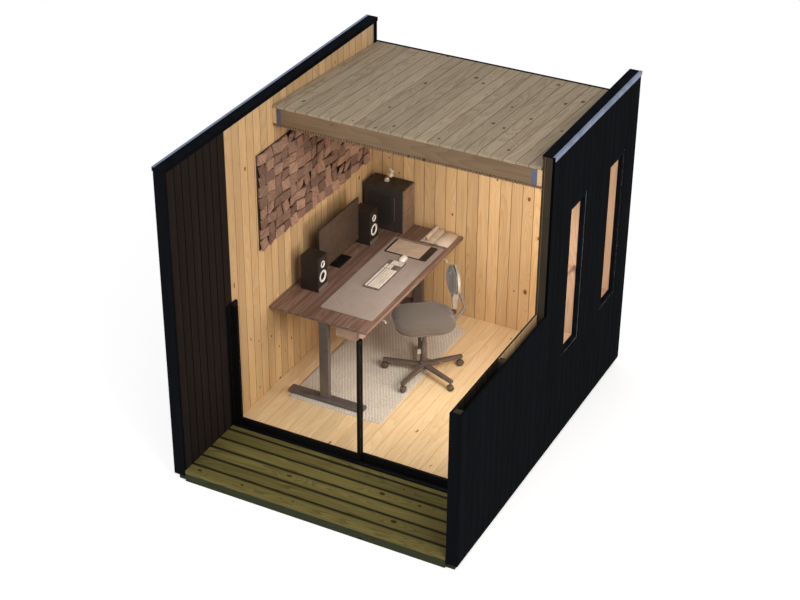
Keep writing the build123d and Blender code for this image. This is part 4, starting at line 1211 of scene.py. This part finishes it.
def buildCasters():
    # twin wheels under a hood, on a stem, each facing away from the column
    radius, inner, outer = caster["radius"], caster["inner"], caster["outer"]
    low, high = spot("chair_column")
    hub = (low + high) / 2
    meshes = []
    for low, high in looseBoxes("chair_casters"):
        middle = (low + high) / 2
        centre = Vector((middle.x, middle.y, low.z + radius))
        turn = Matrix.Rotation(atan2(middle.y - hub.y, middle.x - hub.x), 4, "Z")
        wheel = ((0.0, inner), (radius * 0.9, inner), (radius, inner + 0.002), (radius, outer - 0.003),
                 (radius * 0.88, outer), (0.0, outer))
        parts = [turned([(reach, side * out) for reach, out in wheel], 28, axis="y") for side in (-1, 1)]
        reach, half = radius + caster["hoodGap"], caster["hoodHalf"]
        arc = [radians(angle) for angle in range(-10, 191, 20)]
        parts.append(thickened([[(reach * cos(angle), y, reach * sin(angle)) for y in (half, -half)]
                                for angle in arc], caster["hood"], 0.0))
        bottom, top, stem = caster["stemFrom"], high.z - centre.z, caster["stem"]
        parts.append(turned([(0.0, bottom), (stem, bottom), (stem, top), (0.0, top)], 16))
        made = together(parts)
        made.transform(Matrix.Translation(centre) @ turn)
        meshes.append(made)
    piece("caster_set", together(meshes), hardFinish("casterPlastic", (92, 80, 72), 0.5),
          ("chair_casters",))


# heights in the sleeve are above its foot; the plate and levers are measured down from the column's top
column = {"sleeve": ((0.021, 0.0), (0.021, 0.15), (0.0195, 0.156), (0.0165, 0.158)), "plate": 0.022,
          "plateLong": 0.23, "plateWide": 0.15, "leverLow": 0.225, "leverX": (-0.047, -0.025),
          "leverWide": 0.018, "paddleLow": 0.267, "paddleX": (-0.053, -0.025), "paddleWide": 0.024}


def buildColumn():
    low, high = spot("chair_column")
    plate, top = column["plate"], high.z - column["plate"]
    side = [(radius, low.z + lift) for radius, lift in column["sleeve"]]
    sleeve = turned([(0.0, low.z), *side, (side[-1][0], top), (0.0, top)], 32, chair["centre"])

    def bar(xs, wide, lowest, highest, edge):
        block = blockMesh((xs[0], -wide / 2, high.z - lowest), (xs[1], wide / 2, high.z - highest))
        mesh = edged(block, edge, 3)
        mesh.transform(chairPlace)
        return mesh

    half = column["plateLong"] / 2
    plateMesh = bar((-half, half), column["plateWide"], plate, 0.0, 0.004)
    lever = bar(column["leverX"], column["leverWide"], column["leverLow"], plate, 0.003)
    paddle = bar(column["paddleX"], column["paddleWide"], column["paddleLow"], column["leverLow"] - 0.001,
                 0.004)
    meshes = [painted(together([sleeve, plateMesh]), hardFinish("stemPlastic", (104, 92, 84), 0.42)),
              painted(lever, hardFinish("leverBlack", (44, 38, 35), 0.5)),
              painted(paddle, hardFinish("paddlePale", (190, 178, 166), 0.45))]
    piece("chair_stem", together(meshes), None, ("chair_column",))


buildCushions()
buildCasters()
buildColumn()
print("chair built")

rug = {"rib": 0.0098, "columns": 40, "rowsPerRib": 4, "sway": 0.0012, "flat": 0.55, "wave": 0.42}


def layRug():
    # woven in ribs across its width, with a turned hem at each end
    low, high = spot("rug")
    width, length, thick = high - low
    ribs = round(length / rug["rib"])
    rows, columns = ribs * rug["rowsPerRib"], rug["columns"]
    work = bmesh.new()
    upper, lower = [], []
    for j in range(rows + 1):
        v = j / rows
        wave = abs(sin(pi * ribs * v)) ** 0.7
        points = []
        for i in range(columns + 1):
            u = i / columns
            edge = min(1.0, 16 * min(u, 1 - u), 30 * min(v, 1 - v) + 0.4)
            y = low.y + length * v
            if 0 < j < rows:
                y += rug["sway"] * noise.noise(Vector((u * 3, v * 30, 1.7)))
            x = low.x + width * u
            if i in (0, columns):
                x += rug["sway"] * sin(pi * v * ribs)
            top = thick * (rug["flat"] + rug["wave"] * wave * edge) * (0.6 + 0.4 * edge)
            points.append((min(max(x, low.x), high.x), y, low.z + top))
        upper.append([work.verts.new(point) for point in points])
        lower.append([work.verts.new((x, y, low.z + 0.0002)) for x, y, _ in points])
    for grid in (upper, lower):
        for a, b in zip(grid, grid[1:]):
            for i in range(columns):
                work.faces.new((a[i], a[i + 1], b[i + 1], b[i]))
    border = [(0, i) for i in range(columns + 1)] + [(j, columns) for j in range(1, rows + 1)]
    border += [(rows, i) for i in range(columns - 1, -1, -1)] + [(j, 0) for j in range(rows - 1, 0, -1)]
    for (j, i), (m, k) in zip(border, border[1:] + border[:1]):
        work.faces.new((upper[j][i], lower[j][i], lower[m][k], upper[m][k]))
    # the rug's weave hollows carry strong painted shade
    wool = cloth("rugWool", (255, 247, 234), (228, 211, 192), 0.0125, 0.15, 0.2, relief=0.9, depth=0.0025,
                 hollowShade=0.28)
    made = piece("woven_rug", meshOf(work, True), wool, ("rug",), shading="smooth")


layRug()
print("rug laid")

stage = {"reach": 40.0, "ambient": 0.55, "floorGrey": 0.86, "floorGlow": 0.5}
lamps = (  # name, place, aim, size, power, colour
    ("key", (4.6, -3.4, 5.6), (-0.1, 0.0, 0.6), 3.2, 203.0, (1.0, 0.96, 0.9)),
    ("fill", (-2.5, -5.5, 3.6), (-0.1, 0.0, 0.6), 3.0, 90.0, (1.0, 1.0, 1.0)),
    ("ceilingGlow", (0.1, 0.6, 2.05), (0.1, 0.7, 0.0), 1.1, 3.0, (1.0, 0.93, 0.84)),
    ("roomGlow", (0.45, 0.12, 1.6), (0.6, 1.3, 0.4), 0.9, 9.5, (1.0, 0.95, 0.88)),
    ("sideGlow", (0.86, 0.0, 1.0), (-0.6, 0.3, 0.55), 0.5, 10.5, (1.0, 0.94, 0.87)))
view = {"azimuth": 27.153, "elevation": 31.206, "roll": -0.448, "place": (4.870, -9.6285, 7.544),
        "lens": 80.0}


def seenDirectly(tree):
    # 1 for rays from the camera, off mirrors and through glass
    path = put(tree, "ShaderNodeLightPath")
    seen = sums(tree, "MAXIMUM", path["Is Camera Ray"], path["Is Glossy Ray"])
    return sums(tree, "MAXIMUM", seen, path["Is Transmission Ray"])


def paleFloor():
    made = bpy.data.materials.new("paleFloor")
    made.use_nodes = True
    tree = made.node_tree
    shader = tree.nodes["Principled BSDF"]
    grey = stage["floorGrey"]
    feed(tree, shader, {"Base Color": (grey, grey, grey, 1.0), "Roughness": 0.9, "Specular IOR Level": 0.1})
    strength = times(tree, seenDirectly(tree), stage["floorGlow"])
    glow = put(tree, "ShaderNodeEmission", {"Strength": strength})[0]
    both = put(tree, "ShaderNodeAddShader", {0: shader.outputs[0], 1: glow})[0]
    feed(tree, tree.nodes["Material Output"], {"Surface": both})
    return made


def layFloor():
    reach = stage["reach"]
    mesh = bpy.data.meshes.new("ground")
    mesh.from_pydata([(-reach, -reach, 0), (reach, -reach, 0), (reach, reach, 0), (-reach, reach, 0)], [],
                     [(0, 1, 2, 3)])
    ground = stand("ground", painted(mesh, paleFloor()))


def lightWorld():
    world = bpy.data.worlds.new("paleRoom")
    world.use_nodes = True
    tree = world.node_tree
    tree.nodes.clear()
    level = timesPlus(tree, seenDirectly(tree), 1.0 - stage["ambient"], stage["ambient"])
    sky = put(tree, "ShaderNodeBackground", {"Color": (1, 1, 1, 1), "Strength": level})[0]
    put(tree, "ShaderNodeOutputWorld", {"Surface": sky})
    scene.world = world


def addLamp(name, place, aim, size, power, colour):
    lamp = bpy.data.lights.new(name, "AREA")
    lamp.shape = "DISK"
    lamp.size = size
    lamp.energy = power
    lamp.color = colour
    holder = stand(name, lamp)
    holder.location = place
    holder.visible_camera = False
    holder.rotation_euler = (Vector(aim) - Vector(place)).to_track_quat("-Z", "Y").to_euler()


def placeCamera():
    azimuth, elevation, roll = (radians(view[key]) for key in ("azimuth", "elevation", "roll"))
    back = Vector((sin(azimuth) * cos(elevation), -cos(azimuth) * cos(elevation), sin(elevation)))
    right = (-back).cross(Vector((0, 0, 1))).normalized()
    down = (-back).cross(right)
    turnedRight = right * cos(roll) + down * sin(roll)
    turnedDown = down * cos(roll) - right * sin(roll)
    lens = bpy.data.cameras.new("camera")
    lens.lens = view["lens"]
    lens.sensor_width = 36.0
    camera = stand("camera", lens)
    turn = Matrix((turnedRight, -turnedDown, back)).transposed()
    camera.matrix_world = Matrix.Translation(view["place"]) @ turn.to_4x4()
    scene.camera = camera


layFloor()
lightWorld()
for lamp in lamps:
    addLamp(*lamp)
placeCamera()
scene.view_settings.view_transform = "Standard"
print("stage set")

bpy.context.view_layer.update()
